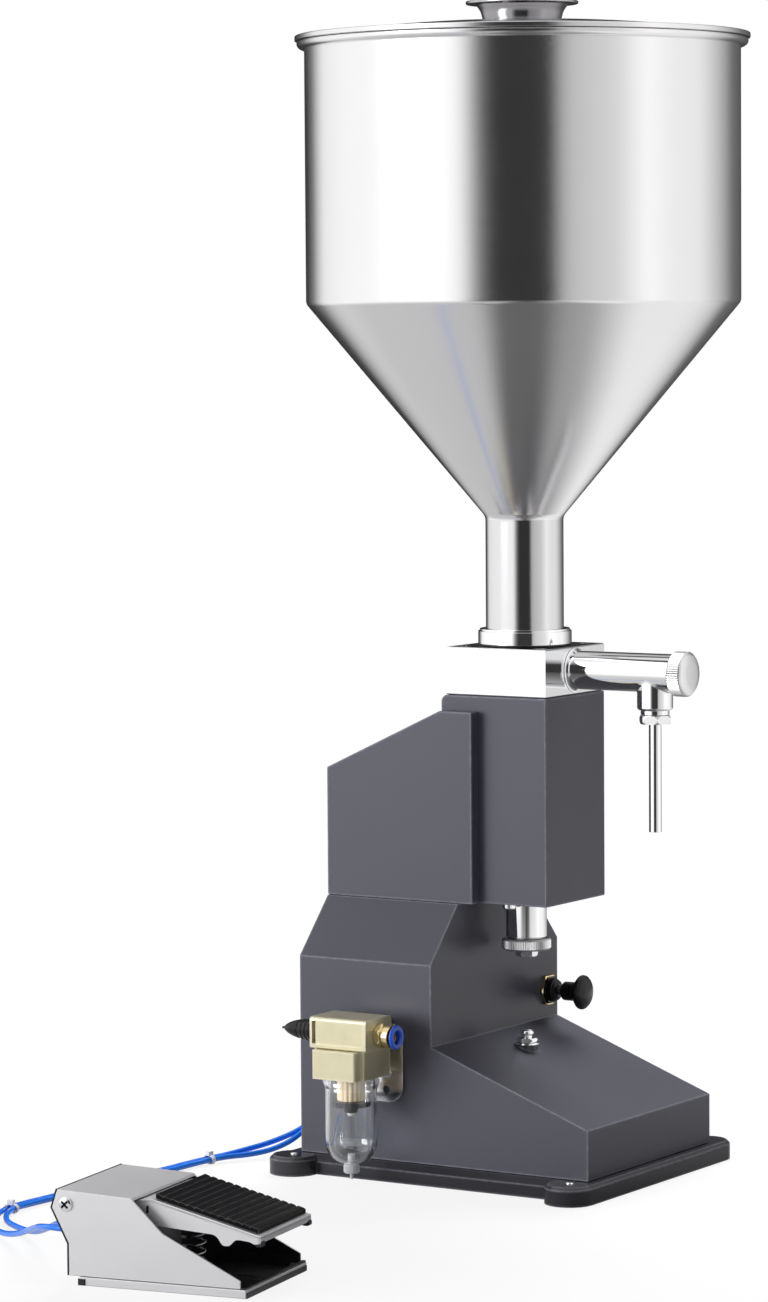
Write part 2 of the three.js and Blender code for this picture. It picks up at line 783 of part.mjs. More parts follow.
function housing() {
  let shell = join(cut(housingForm(0), housingForm(sheet)), studBoss());
  const studReach = slopeHeightAt(pumpX) + studBossRise + overrun;
  const studHole = rod("z", studRadius + seatGap, housingBottom, studReach, smallSteps);
  shell = cut(shell, studHole.translate(pumpX, 0, 0));
  const valveHole = rod("x", valveNeckRadius + seatGap, towerFrontX - overrun, towerFrontX + overrun);
  shell = cut(shell, valveHole.translate(0, valveY, housingBottom + valveHeight));
  const neckHole = rod(
    "x", rearFittingNeckRadius + seatGap, housingRearX - overrun, housingRearX + overrun, smallSteps);
  for (const y of rearFittingYs) {
    shell = cut(shell, neckHole.clone().translate(0, y, housingBottom + rearFittingHeight));
  }
  const windowRear = housingRearX + airWindowEdge;
  const windowCut = extrude(
    "z", rectangle(windowRear, -airWindowWidth / 2, windowRear + airWindowLength, airWindowWidth / 2),
    towerTop - overrun, towerTop + overrun);
  return piece("housing", cut(shell, windowCut), powderCoat);
}

// A stud with a domed head, which the piston rod's nut stops over, and its lock nut
function stopStud() {
  const seat = slopeHeightAt(pumpX) + studBossRise + seatGap;
  const nutTopHeight = seat + studNutHeight;
  const headBase = nutTopHeight + studNeckHeight;
  const rimHeight = studHeadHeight / 3;
  const dome = domeProfile(studHeadRadius, headBase + rimHeight, studHeadHeight - rimHeight, domeSteps);
  const stud = turned("z", [
    [0, seat - studTailLength], [studRadius, seat - studTailLength], [studRadius, headBase],
    [studHeadRadius, headBase], ...dome,
  ], smallSteps);
  const nut = cut(
    extrude("z", hexagon(studNutFlats), seat, nutTopHeight),
    rod("z", studRadius + seatGap, seat - overrun, nutTopHeight + overrun, smallSteps));
  return [
    piece("stop_stud", stud, mirrorSteel, [pumpX, 0, 0]),
    piece("stop_nut", nut, plainSteel, [pumpX, 0, 0]),
  ];
}

// Front box: a folded sheet shell round the pump, open below, with a rounded upper rear corner
function boxForm(distance) {
  const low = distance > 0 ? boxBottom - overrun : boxBottom;
  const [x0, x1] = [boxRearX + distance, boxFrontX - distance];
  const top = boxTop - distance;
  const corner = boxCornerRadius - distance;
  const side = new THREE.Shape();
  side.moveTo(x0, low);
  side.lineTo(x1, low);
  side.lineTo(x1, top);
  side.absarc(x0 + corner, top - corner, corner, Math.PI / 2, Math.PI);
  const halfWidth = boxHalfWidth - distance;
  return extrude("y", side, -halfWidth, halfWidth, domeSteps);
}

function frontBox() {
  const barrelHole = rod("z", pumpBoreRadius + pumpWall + seatGap, boxTop - overrun, boxTop + overrun);
  const slotHalf = boxHalfWidth - sheet;
  const plateSlot = extrude(
    "z", rectangle(boxRearX - overrun, -slotHalf, boxRearX + overrun, slotHalf),
    boxBottom - overrun, bracketTop + seatGap);
  const shell = cut(boxForm(0), boxForm(sheet), barrelHole.translate(pumpX, 0, 0), plateSlot);
  return piece("front_box", shell, powderCoat);
}

// Rear cover: a sheet shell with a slanted top, which laps round the front box
function rearCover() {
  const side = (low) => [
    [housingRearX, low], [coverFrontX, low], [coverFrontX, boxBottom + coverHeight],
    [coverSlantX, boxBottom + coverHeight], [housingRearX, boxBottom + coverRearHeight],
  ];
  const outer = extrude("y", outline(side(boxBottom)), -towerTopHalfWidth, towerTopHalfWidth);
  const innerHalf = towerTopHalfWidth - sheet;
  const innerSide = inset(side(boxBottom - overrun - sheet), sheet);
  const inner = extrude("y", outline(innerSide), -innerHalf, innerHalf);
  const boxHalf = boxHalfWidth + seatGap;
  const boxCut = extrude(
    "z", rectangle(boxRearX - seatGap, -boxHalf, boxFrontX, boxHalf), boxBottom - overrun, boxTop);
  return piece("rear_cover", cut(outer, inner, boxCut), powderCoat);
}

// Cylinder bracket: the plate that carries the box and cylinder, drilled for the guide tube
function cylinderBracket() {
  const halfWidth = boxHalfWidth - sheet - seatGap;
  const shape = rectangle(bracketRearX, -halfWidth, boxFrontX - sheet - seatGap, halfWidth);
  const plate = extrude("z", shape, boxBottom, bracketTop);
  const guideHole = rod("z", guideRadius + seatGap, boxBottom - overrun, bracketTop + overrun);
  return piece("cylinder_bracket", cut(plate, guideHole.translate(pumpX, 0, 0)), plainSteel);
}

// Air valve: the spool valve's block behind the cylinder, with a row of ports on each side
function airValve() {
  const [halfLength, halfWidth] = [airValveLength / 2, airValveWidth / 2];
  const shape = roundedRectangle(-halfLength, -halfWidth, halfLength, halfWidth, airValveCorner);
  const port = rod(
    "y", airValvePortRadius, -halfWidth - overrun, -halfWidth + airValvePortDepth, smallSteps);
  let block = manifoldOf(extrude("z", shape, 0, airValveHeight));
  for (const k of [-1, 0, 1]) {
    block = cut(block, port.clone().translate(k * airValvePortPitch, 0, airValveHeight / 2));
  }
  return piece("air_valve", block, aluminium, [airValveX, 0, bracketTop + seatGap]);
}

// Pump block: bevelled, with the inlet from the hopper, the pump chamber and the way to the arm
function pumpBlock() {
  const halfWidth = boxHalfWidth - blockChamfer;
  const shape = rectangle(
    blockRearX + blockChamfer, -halfWidth, boxFrontX - blockChamfer, halfWidth);
  const bevelled = new THREE.ExtrudeGeometry(shape, {
    depth: blockHeight - 2 * blockChamfer,
    bevelSize: blockChamfer,
    bevelThickness: blockChamfer,
    bevelSegments: 1,
  }).translate(0, 0, blockBottom + blockChamfer);
  const webBottom = blockBottom + chamberDepth;
  const webTop = webBottom + inletSeatThickness;
  const inlet = turned("z", [
    [0, blockBottom - overrun], [chamberRadius, blockBottom - overrun], [chamberRadius, webBottom],
    [inletSeatRadius, webBottom], [inletSeatRadius, webTop], [inletPocketRadius, webTop],
    [inletPocketRadius, blockTop + overrun], [0, blockTop + overrun],
  ]);
  const crossBore = rod("x", crossBoreRadius, chamberRadius - sheet, boxFrontX - pumpX + overrun);
  let block = cut(
    bevelled, inlet.translate(pumpX, 0, 0), crossBore.translate(pumpX, 0, armAxis));
  const screwHole = turned("z", [
    [0, blockTop - blockScrewDepth], [blockScrewRadius, blockTop - blockScrewDepth],
    [blockScrewRadius, blockTop - blockScrewHeadDepth],
    [blockScrewHeadRadius, blockTop - blockScrewHeadDepth],
    [blockScrewHeadRadius, blockTop + overrun], [0, blockTop + overrun],
  ], smallSteps);
  for (const x of [blockRearX + blockScrewInset, boxFrontX - blockScrewInset]) {
    for (const y of [-boxHalfWidth + blockScrewInset, boxHalfWidth - blockScrewInset]) {
      block = cut(block, screwHole.clone().translate(x, y, 0));
    }
  }
  return piece("pump_block", block, mirrorSteel);
}

// Inlet poppet: a disc under the block's seat, its stem, and the bar that stops it on the seat's top
function inletPoppet() {
  const discTop = blockBottom + chamberDepth - seatGap;
  const barBottom = blockBottom + chamberDepth + inletSeatThickness + inletPoppetTravel + seatGap;
  const barTop = barBottom + inletBarThickness;
  const bodyOfPoppet = turned("z", [
    [0, discTop - inletPoppetThickness], [inletPoppetRadius, discTop - inletPoppetThickness],
    [inletPoppetRadius, discTop], [inletStemRadius, discTop], [inletStemRadius, barTop], [0, barTop],
  ], roundSteps);
  const halfBar = inletBarWidth / 2;
  const bar = extrude("z", rectangle(-inletBarReach, -halfBar, inletBarReach, halfBar), barBottom, barTop);
  return piece("inlet_poppet", join(bodyOfPoppet, bar), plainSteel, [pumpX, 0, 0]);
}

// Pump barrel, its piston with a seal in a groove, and the rod that the air piston drives
function pumpParts() {
  const barrel = tube("z", pumpBoreRadius, pumpBoreRadius + pumpWall, pumpBarrelBottom, pumpBarrelTop);
  const pistonRadius = pumpBoreRadius - pistonClearance;
  const grooveRadius = pistonRadius - sealDepth;
  const sealBottom = pistonBottom + (pistonHeight - sealHeight) / 2;
  const socketTop = pistonBottom + rodSocketDepth;
  const piston = turned("z", [
    [rodRadius + seatGap, pistonBottom], [pistonRadius, pistonBottom], [pistonRadius, sealBottom - seatGap],
    [grooveRadius, sealBottom - seatGap], [grooveRadius, sealBottom + sealHeight + seatGap],
    [pistonRadius, sealBottom + sealHeight + seatGap], [pistonRadius, pistonTop], [0, pistonTop],
    [0, socketTop], [rodRadius + seatGap, socketTop], [rodRadius + seatGap, pistonBottom],
  ]);
  const seal = tube(
    "z", grooveRadius + seatGap, pumpBoreRadius - seatGap, sealBottom, sealBottom + sealHeight);
  const pistonRod = rod("z", rodRadius, hexTop - hexSocketDepth + seatGap, socketTop - seatGap);
  return [
    piece("pump_barrel", barrel, satinSteel, [pumpX, 0, 0]),
    piece("pump_piston", piston, plainSteel, [pumpX, 0, 0]),
    piece("piston_seal", seal, blackRubber, [pumpX, 0, 0]),
    piece("piston_rod", pistonRod, mirrorSteel, [pumpX, 0, 0]),
  ];
}

// Air cylinder: barrel, two end caps with side ports, and the piston on the rod
function airCylinder() {
  const bore = rodRadius + seatGap;
  const barrel = tube("z", airBoreRadius, airBoreRadius + airWall, airBarrelBottom, airBarrelTop);
  const topCapBottom = airBarrelTop + seatGap;
  const topCapTop = pumpBarrelBottom - seatGap;
  const port = rod("x", airPortRadius, -airCapRadius - overrun, -rodRadius - overrun, smallSteps);
  const topCap = cut(
    tube("z", bore, airCapRadius, topCapBottom, topCapTop),
    port.clone().translate(0, 0, (topCapBottom + topCapTop) / 2));
  const bottomCap = cut(
    tube("z", bore, airCapRadius, airCapBottom, airCapBottom + airCapHeight),
    port.clone().translate(0, 0, airCapBottom + airCapHeight / 2));
  const pistonRadius = airBoreRadius - seatGap;
  const piston = tube("z", bore, pistonRadius, airPistonBottom, airPistonBottom + airPistonHeight);
  return [
    piece("air_barrel", barrel, aluminium, [pumpX, 0, 0]),
    piece("air_cap_top", topCap, aluminium, [pumpX, 0, 0]),
    piece("air_cap_bottom", bottomCap, aluminium, [pumpX, 0, 0]),
    piece("air_piston", piston, blackPlastic, [pumpX, 0, 0]),
  ];
}

// Guide tube below the box, with the knurled stop ring and hexagon nut on the rod's end
function stopParts() {
  const bore = rodRadius + seatGap;
  const guide = turned("z", [
    [bore, guideBottom], [guideRadius - guideChamfer, guideBottom], [guideRadius, guideBottom + guideChamfer],
    [guideRadius, bracketTop], [bore, bracketTop],
  ]);
  const ringBottom = ringTop - ringHeight;
  const ring = knurled("z", [
    [bore, ringBottom], [ringRadius - ringChamfer, ringBottom], [ringRadius, ringBottom + ringChamfer],
    [ringRadius, ringTop - ringChamfer], [ringRadius - ringChamfer, ringTop], [bore, ringTop],
  ], ringRadius - ringChamfer / 2, ringKnurlDepth, ringKnurlTeeth);
  const socket = rod("z", bore, hexTop - hexSocketDepth, hexTop + overrun);
  const nut = cut(extrude("z", hexagon(hexFlats), hexTop - hexHeight, hexTop), socket);
  return [
    piece("guide_tube", guide, mirrorSteel, [pumpX, 0, 0]),
    piece("stop_ring", ring, satinSteel, [pumpX, 0, 0]),
    piece("stop_hex", nut, mirrorSteel, [pumpX, 0, 0]),
  ];
}

// Hopper: neck, cone and drum of one sheet, with a rolled bead at the rim
function hopper() {
  const inner = hopperWall;
  const beadBottom = hopperTop - beadHeight;
  const bead = [];
  for (let k = 0; k <= beadSteps; k += 1) {
    const a = Math.PI * (k / beadSteps - 1 / 2);
    const rise = (beadHeight / 2) * (1 + Math.sin(a));
    bead.push([hopperRadius + beadReach * Math.cos(a), beadBottom + rise]);
  }
  const shell = turned("z", [
    [neckRadius - inner, hopperBottom], [neckRadius, hopperBottom], [neckRadius, coneBottom],
    [hopperRadius, drumBottom], ...bead, [hopperRadius - inner, hopperTop],
    [hopperRadius - inner, drumBottom + inner / 2], [neckRadius - inner, coneBottom + inner / 2],
  ], largeSteps);
  const collarTop = hopperBottom + collarHeight;
  const collar = turned("z", [
    [neckRadius + seatGap, hopperBottom], [collarRadius, hopperBottom],
    [collarRadius, collarTop - collarLipHeight], [collarRadius - collarLipStep, collarTop - collarLipHeight],
    [collarRadius - collarLipStep, collarTop], [neckRadius + seatGap, collarTop],
  ], largeSteps);
  return [
    piece("hopper", shell, satinSteel, [pumpX, 0, 0]),
    piece("hopper_collar", collar, mirrorSteel, [pumpX, 0, 0]),
  ];
}

// Lid: a domed disc whose step drops inside the drum, and a pressed handle that widens upwards
function lid() {
  const under = lidBottom;
  const top = lidBottom + lidSheet;
  const domeTop = [];
  const domeUnder = [];
  for (let k = 0; k <= lidDomeSteps; k += 1) {
    const share = k / lidDomeSteps;
    const r = lidPlugRadius - lidSheet + share * (lidFlatRadius - lidPlugRadius + lidSheet);
    const rise = lidCrown * Math.sin((Math.PI / 2) * share);
    domeTop.push([r, top + rise]);
    domeUnder.push([r, under + rise]);
  }
  const shell = turned("z", [
    [0, domeTop[lidDomeSteps][1]], ...[...domeTop].reverse(), [lidRadius, top],
    [lidRadius, under - lidLipDrop],
    [lidRadius - lidSheet, under - lidLipDrop], [lidRadius - lidSheet, under], [lidPlugRadius, under],
    [lidPlugRadius, under - lidPlugDrop], [lidPlugRadius - lidSheet, under - lidPlugDrop], ...domeUnder,
    [0, domeUnder[lidDomeSteps][1]],
  ], largeSteps);
  const foot = top + lidCrown + seatGap;
  const flange = foot + handleHeight - handleFlangeThickness;
  const handle = turned("z", [
    [0, foot], [handleFootRadius, foot], [handleWaistRadius, flange], [handleFlangeRadius, flange],
    [handleFlangeRadius, foot + handleHeight],
    [handleWaistRadius - handleFlangeThickness, foot + handleHeight],
    [handleDishRadius, foot + handleHeight - handleDishDepth], [0, foot + handleHeight - handleDishDepth],
  ], largeSteps);
  return [
    piece("lid", shell, satinSteel, [pumpX, 0, 0]),
    piece("lid_handle", handle, mirrorSteel, [pumpX, 0, 0]),
  ];
}

// Discharge arm: a level tube with a welded root and an outlet that drops from it
function dischargeArm() {
  const rootX = boxFrontX + seatGap;
  const arm = turned("x", [
    [0, rootX], [armRadius + armWeldReach, rootX], [armRadius, rootX + armWeldReach],
    [armRadius, armEndX], [0, armEndX],
  ]);
  const neckBottom = -outletLength - outletNeckHeight;
  const outlet = turned("z", [
    [0, neckBottom], [outletNeckRadius, neckBottom],
    [outletNeckRadius, -outletLength], [outletRadius - outletChamfer, -outletLength],
    [outletRadius, -outletLength + outletChamfer], [outletRadius, 0], [0, 0],
  ]);
  const armBore = rod("x", armBoreRadius, rootX - overrun, armEndX + overrun);
  const outletBore = turned("z", [
    [0, neckBottom - overrun], [outletBoreRadius, neckBottom - overrun],
    [outletBoreRadius, -outletBoreTop], [outletSeatRadius, -outletBoreTop], [outletSeatRadius, 0], [0, 0],
  ]);
  const solid = join(arm, outlet.translate(outletX, 0, 0));
  const body = cut(solid, armBore, outletBore.translate(outletX, 0, 0));
  return piece("discharge_arm", body, mirrorSteel, [0, 0, armAxis]);
}

// End cap: knurled round its skirt, with a slightly crowned face
function armEndCap() {
  const skirtX = armEndX + seatGap - capPocketDepth;
  const faceX = skirtX + capLength;
  const pocketRadius = armRadius + seatGap;
  const shoulder = faceX - capCrown;
  const cap = knurled("x", [
    [pocketRadius, skirtX], [capRadius - capChamfer / 2, skirtX], [capRadius, skirtX + capChamfer / 2],
    [capRadius, shoulder - capChamfer], [capRadius - capChamfer, shoulder], [0, faceX],
    [0, armEndX + seatGap], [pocketRadius, armEndX + seatGap], [pocketRadius, skirtX],
  ], capRadius - capChamfer / 3, capKnurlDepth, capKnurlTeeth);
  return piece("arm_end_cap", cap, satinSteel, [0, 0, armAxis]);
}

// Discharge poppet under its seat in the outlet, the spring below it, the nut and the nozzle tube
function outletParts() {
  const spigotTop = nutTop + nozzleSpigotHeight;
  const poppetTop = armAxis - outletBoreTop - seatGap;
  const poppetBottom = poppetTop - poppetHeight;
  const poppet = turned("z", [
    [0, poppetBottom], [poppetRadius, poppetBottom], [poppetRadius, poppetTop - poppetHeight / 2],
    [outletSeatRadius, poppetTop], [0, poppetTop],
  ], smallSteps);
  const spring = helix(
    dischargeSpringRadius, dischargeWire, spigotTop + seatGap, poppetBottom - seatGap, dischargeCurls);
  console.log("discharge_spring: least gap to itself " + leastGap(spring, dischargeWire).toFixed(2) + " mm");
  const nutBottom = nutTop - nozzleNutHeight;
  const hexBody = manifoldOf(extrude("z", hexagon(nozzleNutFlats), nutBottom, nutTop));
  const corner = nozzleNutFlats / Math.sqrt(3);
  const chamfered = hexBody.intersect(manifoldOf(turned("z", [
    [0, nutBottom], [corner - nozzleNutChamfer, nutBottom], [corner, nutBottom + nozzleNutChamfer],
    [corner, nutTop - nozzleNutChamfer], [corner - nozzleNutChamfer, nutTop], [0, nutTop],
  ])));
  const nut = cut(
    join(chamfered, rod("z", nozzleSpigotRadius, nutTop - nozzleNutChamfer, spigotTop)),
    rod("z", nozzleRadius + seatGap, nutBottom - overrun, spigotTop + overrun, smallSteps));
  const nozzleBottom = nutBottom - nozzleLength;
  const nozzle = tube("z", nozzleRadius - nozzleWall, nozzleRadius, nozzleBottom, spigotTop, smallSteps);
  return [
    piece("discharge_poppet", poppet, plainSteel, [outletX, 0, 0]),
    piece("discharge_spring", wire(spring, dischargeWire, springSides), plainSteel, [outletX, 0, 0]),
    piece("nozzle_nut", nut, satinSteel, [outletX, 0, 0]),
    piece("nozzle_tube", nozzle, mirrorSteel, [outletX, 0, 0]),
  ];
}

// Hand valve: a block behind the panel whose threaded neck comes through it, with nut, stem and knob
function handValve() {
  const backX = -sheet - seatGap - valveBodyInset;
  const [halfWidth, halfHeight] = [valveBodyWidth / 2, valveBodyHeight / 2];
  const block = extrude(
    "x", roundedRectangle(-halfWidth, -halfHeight, halfWidth, halfHeight, valveBodyCorner),
    backX - valveBodyLength, backX);
  const neck = rod("x", valveNeckRadius, backX - overrun, valveNeckReach);
  const bore = rod(
    "x", valveStemRadius + seatGap, -valveStemDepth - seatGap, valveNeckReach + overrun, smallSteps);
  const body = cut(join(block, neck), bore);
  const nut = cut(
    extrude("x", hexagon(valveNutFlats), seatGap, seatGap + valveNutHeight),
    rod("x", valveNeckRadius + seatGap, -overrun, seatGap + valveNutHeight + overrun));
  const stem = rod("x", valveStemRadius, -valveStemDepth, knobRest + knobSocketDepth - seatGap, smallSteps);
  const headX = knobRest + knobCollarLength;
  const rimX = headX + knobHeadLength / 3;
  const head = domeProfile(knobHeadRadius, rimX, headX + knobHeadLength - rimX, knobCrownSteps);
  const knobForm = turned("x", [
    [0, knobRest], [knobCollarRadius, knobRest], [knobCollarRadius, headX - knobHeadLength / 6],
    [(knobCollarRadius + knobHeadRadius) / 2, headX + knobHeadLength / 8], ...head,
  ]);
  const socketEnd = knobRest + knobSocketDepth;
  const knob = cut(knobForm, rod("x", valveStemRadius + seatGap, knobRest - overrun, socketEnd, smallSteps));
  const place = [towerFrontX, valveY, housingBottom + valveHeight];
  return [
    piece("valve_body", body, blackPlastic, place),
    piece("valve_nut", nut, brass, place),
    piece("valve_stem", stem, plainSteel, place),
    piece("valve_knob", knob, blackPlastic, place),
  ];
}

// Filter bracket: a rounded plate flat on the side wall, with the arm that holds the head
function filterBracket() {
  const wallY = -housingHalfWidth - seatGap;
  const plateFront = wallY - bracketPlateThickness;
  const half = bracketPlateLength / 2;
  const low = housingBottom + bracketPlateBottom;
  const shape = roundedRectangle(-half, low, half, housingBottom + bracketPlateTop, bracketPlateRadius);
  const headBack = filterY + headDepth / 2 + seatGap;
  const [halfArm, halfRise] = [bracketArmLength / 2, bracketArmHeight / 2];
  const arm = extrude(
    "z", rectangle(-halfArm, headBack, halfArm, plateFront + bracketPlateThickness / 2),
    portAxis - halfRise, portAxis + halfRise);
  let body = join(extrude("y", shape, plateFront, wallY), arm);
  for (const side of [-1, 1]) {
    for (const rise of [bracketLowHole, bracketScrewHole]) {
      const hole = rod("y", bracketHoleRadius, plateFront - overrun, wallY + overrun, smallSteps);
      body = cut(body, hole.translate(side * (half - bracketHoleInset), 0, low + rise));
    }
  }
  return piece("filter_bracket", body, plainSteel, [filterX, 0, 0]);
}

// Filter head: a rounded block with the ports, and the lower block that holds the bowl
function filterHead() {
  const [halfLength, halfDepth] = [headLength / 2, headDepth / 2];
  const upper = extrude(
    "x", roundedRectangle(-halfDepth, headBottom, halfDepth, headTop, headEdgeRadius),
    -halfLength, halfLength);
  const half = ringBlockLength / 2;
  const lower = extrude(
    "z", roundedRectangle(-half, -ringBlockFront, half, ringBlockBack, ringBlockRadius),
    ringBlockBottom, headBottom + seatGap);
  const port = rod("x", portRadius, -halfLength - overrun, -halfLength + portDepth, smallSteps);
  const ports = [port, port.clone().translate(headLength - portDepth + overrun, 0, 0)];
  const bowlSeat = rod("z", bowlSeatRadius, ringBlockBottom - overrun, ringBlockBottom + bowlSeatDepth);
  const body = cut(
    join(upper, lower), ...ports.map((tool) => tool.translate(0, 0, portAxis)), bowlSeat);
  return piece("filter_head", body, champagne, [filterX, filterY, 0]);
}

// Bowl, drain cock, filter element and baffle, all about the filter's own axis
function filterBowlParts() {
  const round = (radius, low) => {
    const arc = [];
    for (let k = 0; k <= bowlRoundSteps; k += 1) {
      const a = (Math.PI / 2) * (k / bowlRoundSteps);
      arc.push([
        drainHoleRadius + (radius - drainHoleRadius) * Math.sin(a),
        low + bowlRoundHeight * (1 - Math.cos(a)),
      ]);
    }
    return arc;
  };
  const neckOuter = bowlSeatRadius - seatGap;
  const bowl = turned("z", [
    ...round(bowlWaistRadius, bowlBottom), [bowlWaistRadius, ringBlockBottom - bowlShoulder],
    [bowlRadius, ringBlockBottom - bowlShoulder / 2], [bowlRadius, ringBlockBottom - seatGap],
    [neckOuter, ringBlockBottom - seatGap], [neckOuter, bowlTop], [neckOuter - bowlWall, bowlTop],
    [neckOuter - bowlWall, ringBlockBottom - bowlShoulder],
    ...round(bowlWaistRadius - bowlWall, bowlBottom + bowlWall).reverse(),
  ]);
  const elementTop = ringBlockBottom + bowlSeatDepth - seatGap;
  const elementBottom = ringBlockBottom - elementDrop;
  const element = cut(
    extrude("z", toothedDisc(elementRadius, elementRibDepth, elementRibs), elementBottom, elementTop),
    rod("z", elementBoreRadius, elementBottom + sheet, elementTop + overrun, smallSteps));
  const baffleTop = elementBottom - seatGap;
  const disc = extrude(
    "z", toothedDisc(baffleRadius, baffleNotchDepth, baffleNotches), baffleTop - baffleHeight, baffleTop);
  const nut = rod("z", baffleNutRadius, baffleTop - baffleHeight - baffleNutHeight, baffleTop, smallSteps);
  const drainTop = bowlBottom - seatGap;
  const drainLow = drainTop - drainNutHeight;
  const drain = join(
    extrude("z", toothedDisc(drainNutRadius, drainPinRadius / 2, drainTeeth), drainLow, drainTop),
    rod("z", drainHoleRadius - seatGap, drainTop - drainPinRadius, bowlBottom + drainStemLength,
      smallSteps),
    rod("z", drainPinRadius, drainLow - drainPinLength, drainTop - drainPinRadius, smallSteps));
  const place = [filterX, filterY, 0];
  return [
    piece("filter_bowl", bowl, clearPlastic, place),
    piece("filter_element", element, creamElement, place),
    piece("filter_baffle", join(disc, nut), blackPlastic, place),
    piece("filter_drain", drain, clearPlastic, place),
  ];
}

// Outlet fitting with its push-in collet on the head's front port, ribbed plug on the rear one
function filterPorts() {
  const faceX = headLength / 2 + seatGap;
  const hexEnd = faceX + fittingHexLength;
  const fittingEnd = faceX + fittingLength;
  const fittingBody = join(
    extrude("x", hexagon(fittingFlats), faceX, hexEnd),
    rod("x", fittingRadius, hexEnd - seatGap, fittingEnd),
    rod("x", fittingNeckRadius, faceX - fittingNeckLength, faceX + seatGap));
  const sleeveStart = fittingEnd - colletSleeveLength - colletTravel;
  const fitting = cut(
    fittingBody, rod("x", airTubeRadius, faceX - fittingNeckLength - overrun, fittingEnd),
    rod("x", colletSleeveRadius + seatGap, sleeveStart - seatGap, fittingEnd + overrun));
  const flangeX = fittingEnd + colletTravel + seatGap;
  const collet = turned("x", [
    [airTubeRadius, sleeveStart + colletTravel], [colletSleeveRadius, sleeveStart + colletTravel],
    [colletSleeveRadius, flangeX], [colletFlangeRadius, flangeX],
    [colletFlangeRadius, flangeX + colletFlangeLength / 2],
    [colletFlangeRadius - colletFlangeLength / 2, flangeX + colletFlangeLength],
    [airTubeRadius, flangeX + colletFlangeLength],
  ]);
  const ribbed = [[0, -plugTipLength - plugLength], [plugTipRadius, -plugTipLength - plugLength],
    [plugTipRadius, -plugLength]];
  const shoulderX = -plugLength * plugShoulderShare;
  const ribPitch = (plugLength * (1 - plugShoulderShare)) / plugRibs;
  for (let k = 0; k < plugRibs; k += 1) {
    const along = -plugLength + (k + 1 / 2) * ribPitch;
    const bulge = Math.sin((Math.PI / 2) * ((k + 1) / plugRibs));
    const full = plugTipRadius + (plugRadius - plugTipRadius) * bulge;
    ribbed.push([full, along - ribPitch / 4], [full, along + ribPitch / 4]);
    if (k < plugRibs - 1) ribbed.push([full - plugRibDepth, along + ribPitch / 2]);
  }
  const plug = join(
    turned("x", [...ribbed, [plugRadius, shoulderX], [plugRadius, 0], [0, 0]], smallSteps),
    rod("x", fittingNeckRadius, -seatGap, fittingNeckLength, smallSteps));
  const place = [filterX, filterY, portAxis];
  return [
    piece("outlet_fitting", fitting, brass, place),
    piece("outlet_collet", collet, bluePlastic, place),
    piece("inlet_plug", plug, blackPlastic, [filterX - faceX, filterY, portAxis]),
  ];
}

// A push-in fitting for one hose: hexagon, collet and a neck into the piece that it screws to
function hoseFitting(name, neckLength, place) {
  const hexEnd = -seatGap - rearFittingHexLength;
  const colletEnd = hexEnd - rearFittingColletLength;
  const body = join(
    extrude("x", hexagon(rearFittingFlats), hexEnd, -seatGap),
    rod("x", rearFittingColletRadius, colletEnd, hexEnd + seatGap, smallSteps),
    rod("x", rearFittingNeckRadius, -seatGap - sheet, neckLength, smallSteps));
  const bored = cut(
    body, rod("x", hoseBoreRadius, colletEnd - overrun, neckLength + overrun, smallSteps));
  return piece(name, bored, brass, place);
}

// Bulkhead fittings on the rear wall, one for each hose
function rearFittings() {
  const height = housingBottom + rearFittingHeight;
  return rearFittingYs.map((y, k) =>
    hoseFitting("rear_fitting_" + "ab"[k], rearFittingNeckLength, [housingRearX, y, height]));
}

// Hoses, each a plain tube along its route, and the ties that hold the pair together
function routeCurve(route) {
  return new THREE.CatmullRomCurve3(route.map((p) => new THREE.Vector3(...p)), false, "centripetal");
}

function hose(name, route) {
  const angles = Array.from({ length: hoseSides }, (_, k) => (2 * Math.PI * (k + 1 / 2)) / hoseSides);
  const section = outline(angles.map((a) => [hoseRadius * Math.cos(a), hoseRadius * Math.sin(a)]));
  const curve = routeCurve(route);
  console.log(name + ": length " + curve.getLength().toFixed(0) + " mm");
  const options = { steps: hoseSteps, extrudePath: curve, bevelEnabled: false };
  const geometry = new THREE.ExtrudeGeometry(section, options);
  return piece(name, geometry, hoseBlue);
}

function hoseTie({ name, a, b }) {
  const [from, to] = [new THREE.Vector3(...hoseRouteA[a]), new THREE.Vector3(...hoseRouteB[b])];
  const across = to.clone().sub(from);
  const half = across.length() / 2;
  const oval = (radius) => {
    const shape = new THREE.Shape();
    shape.absarc(half, 0, radius, -Math.PI / 2, Math.PI / 2);
    shape.absarc(-half, 0, radius, Math.PI / 2, 1.5 * Math.PI);
    return shape;
  };
  const inner = hoseRadius + seatGap;
  const band = cut(
    extrude("y", oval(inner + tieThickness), -tieWidth / 2, tieWidth / 2, domeSteps),
    extrude("y", oval(inner), -tieWidth, tieWidth, domeSteps));
  const headLow = inner + tieThickness / 2;
  const head = extrude(
    "y", rectangle(-tieHeadSize / 2, headLow, tieHeadSize / 2, headLow + tieHeadSize / 2 + tieThickness),
    -tieHeadSize / 2, tieHeadSize / 2);
  const mesh = piece(name, join(band, head), whitePlastic, from.add(to).multiplyScalar(1 / 2).toArray());
  mesh.rotation.z = Math.atan2(across.y, across.x);
  return mesh;
}

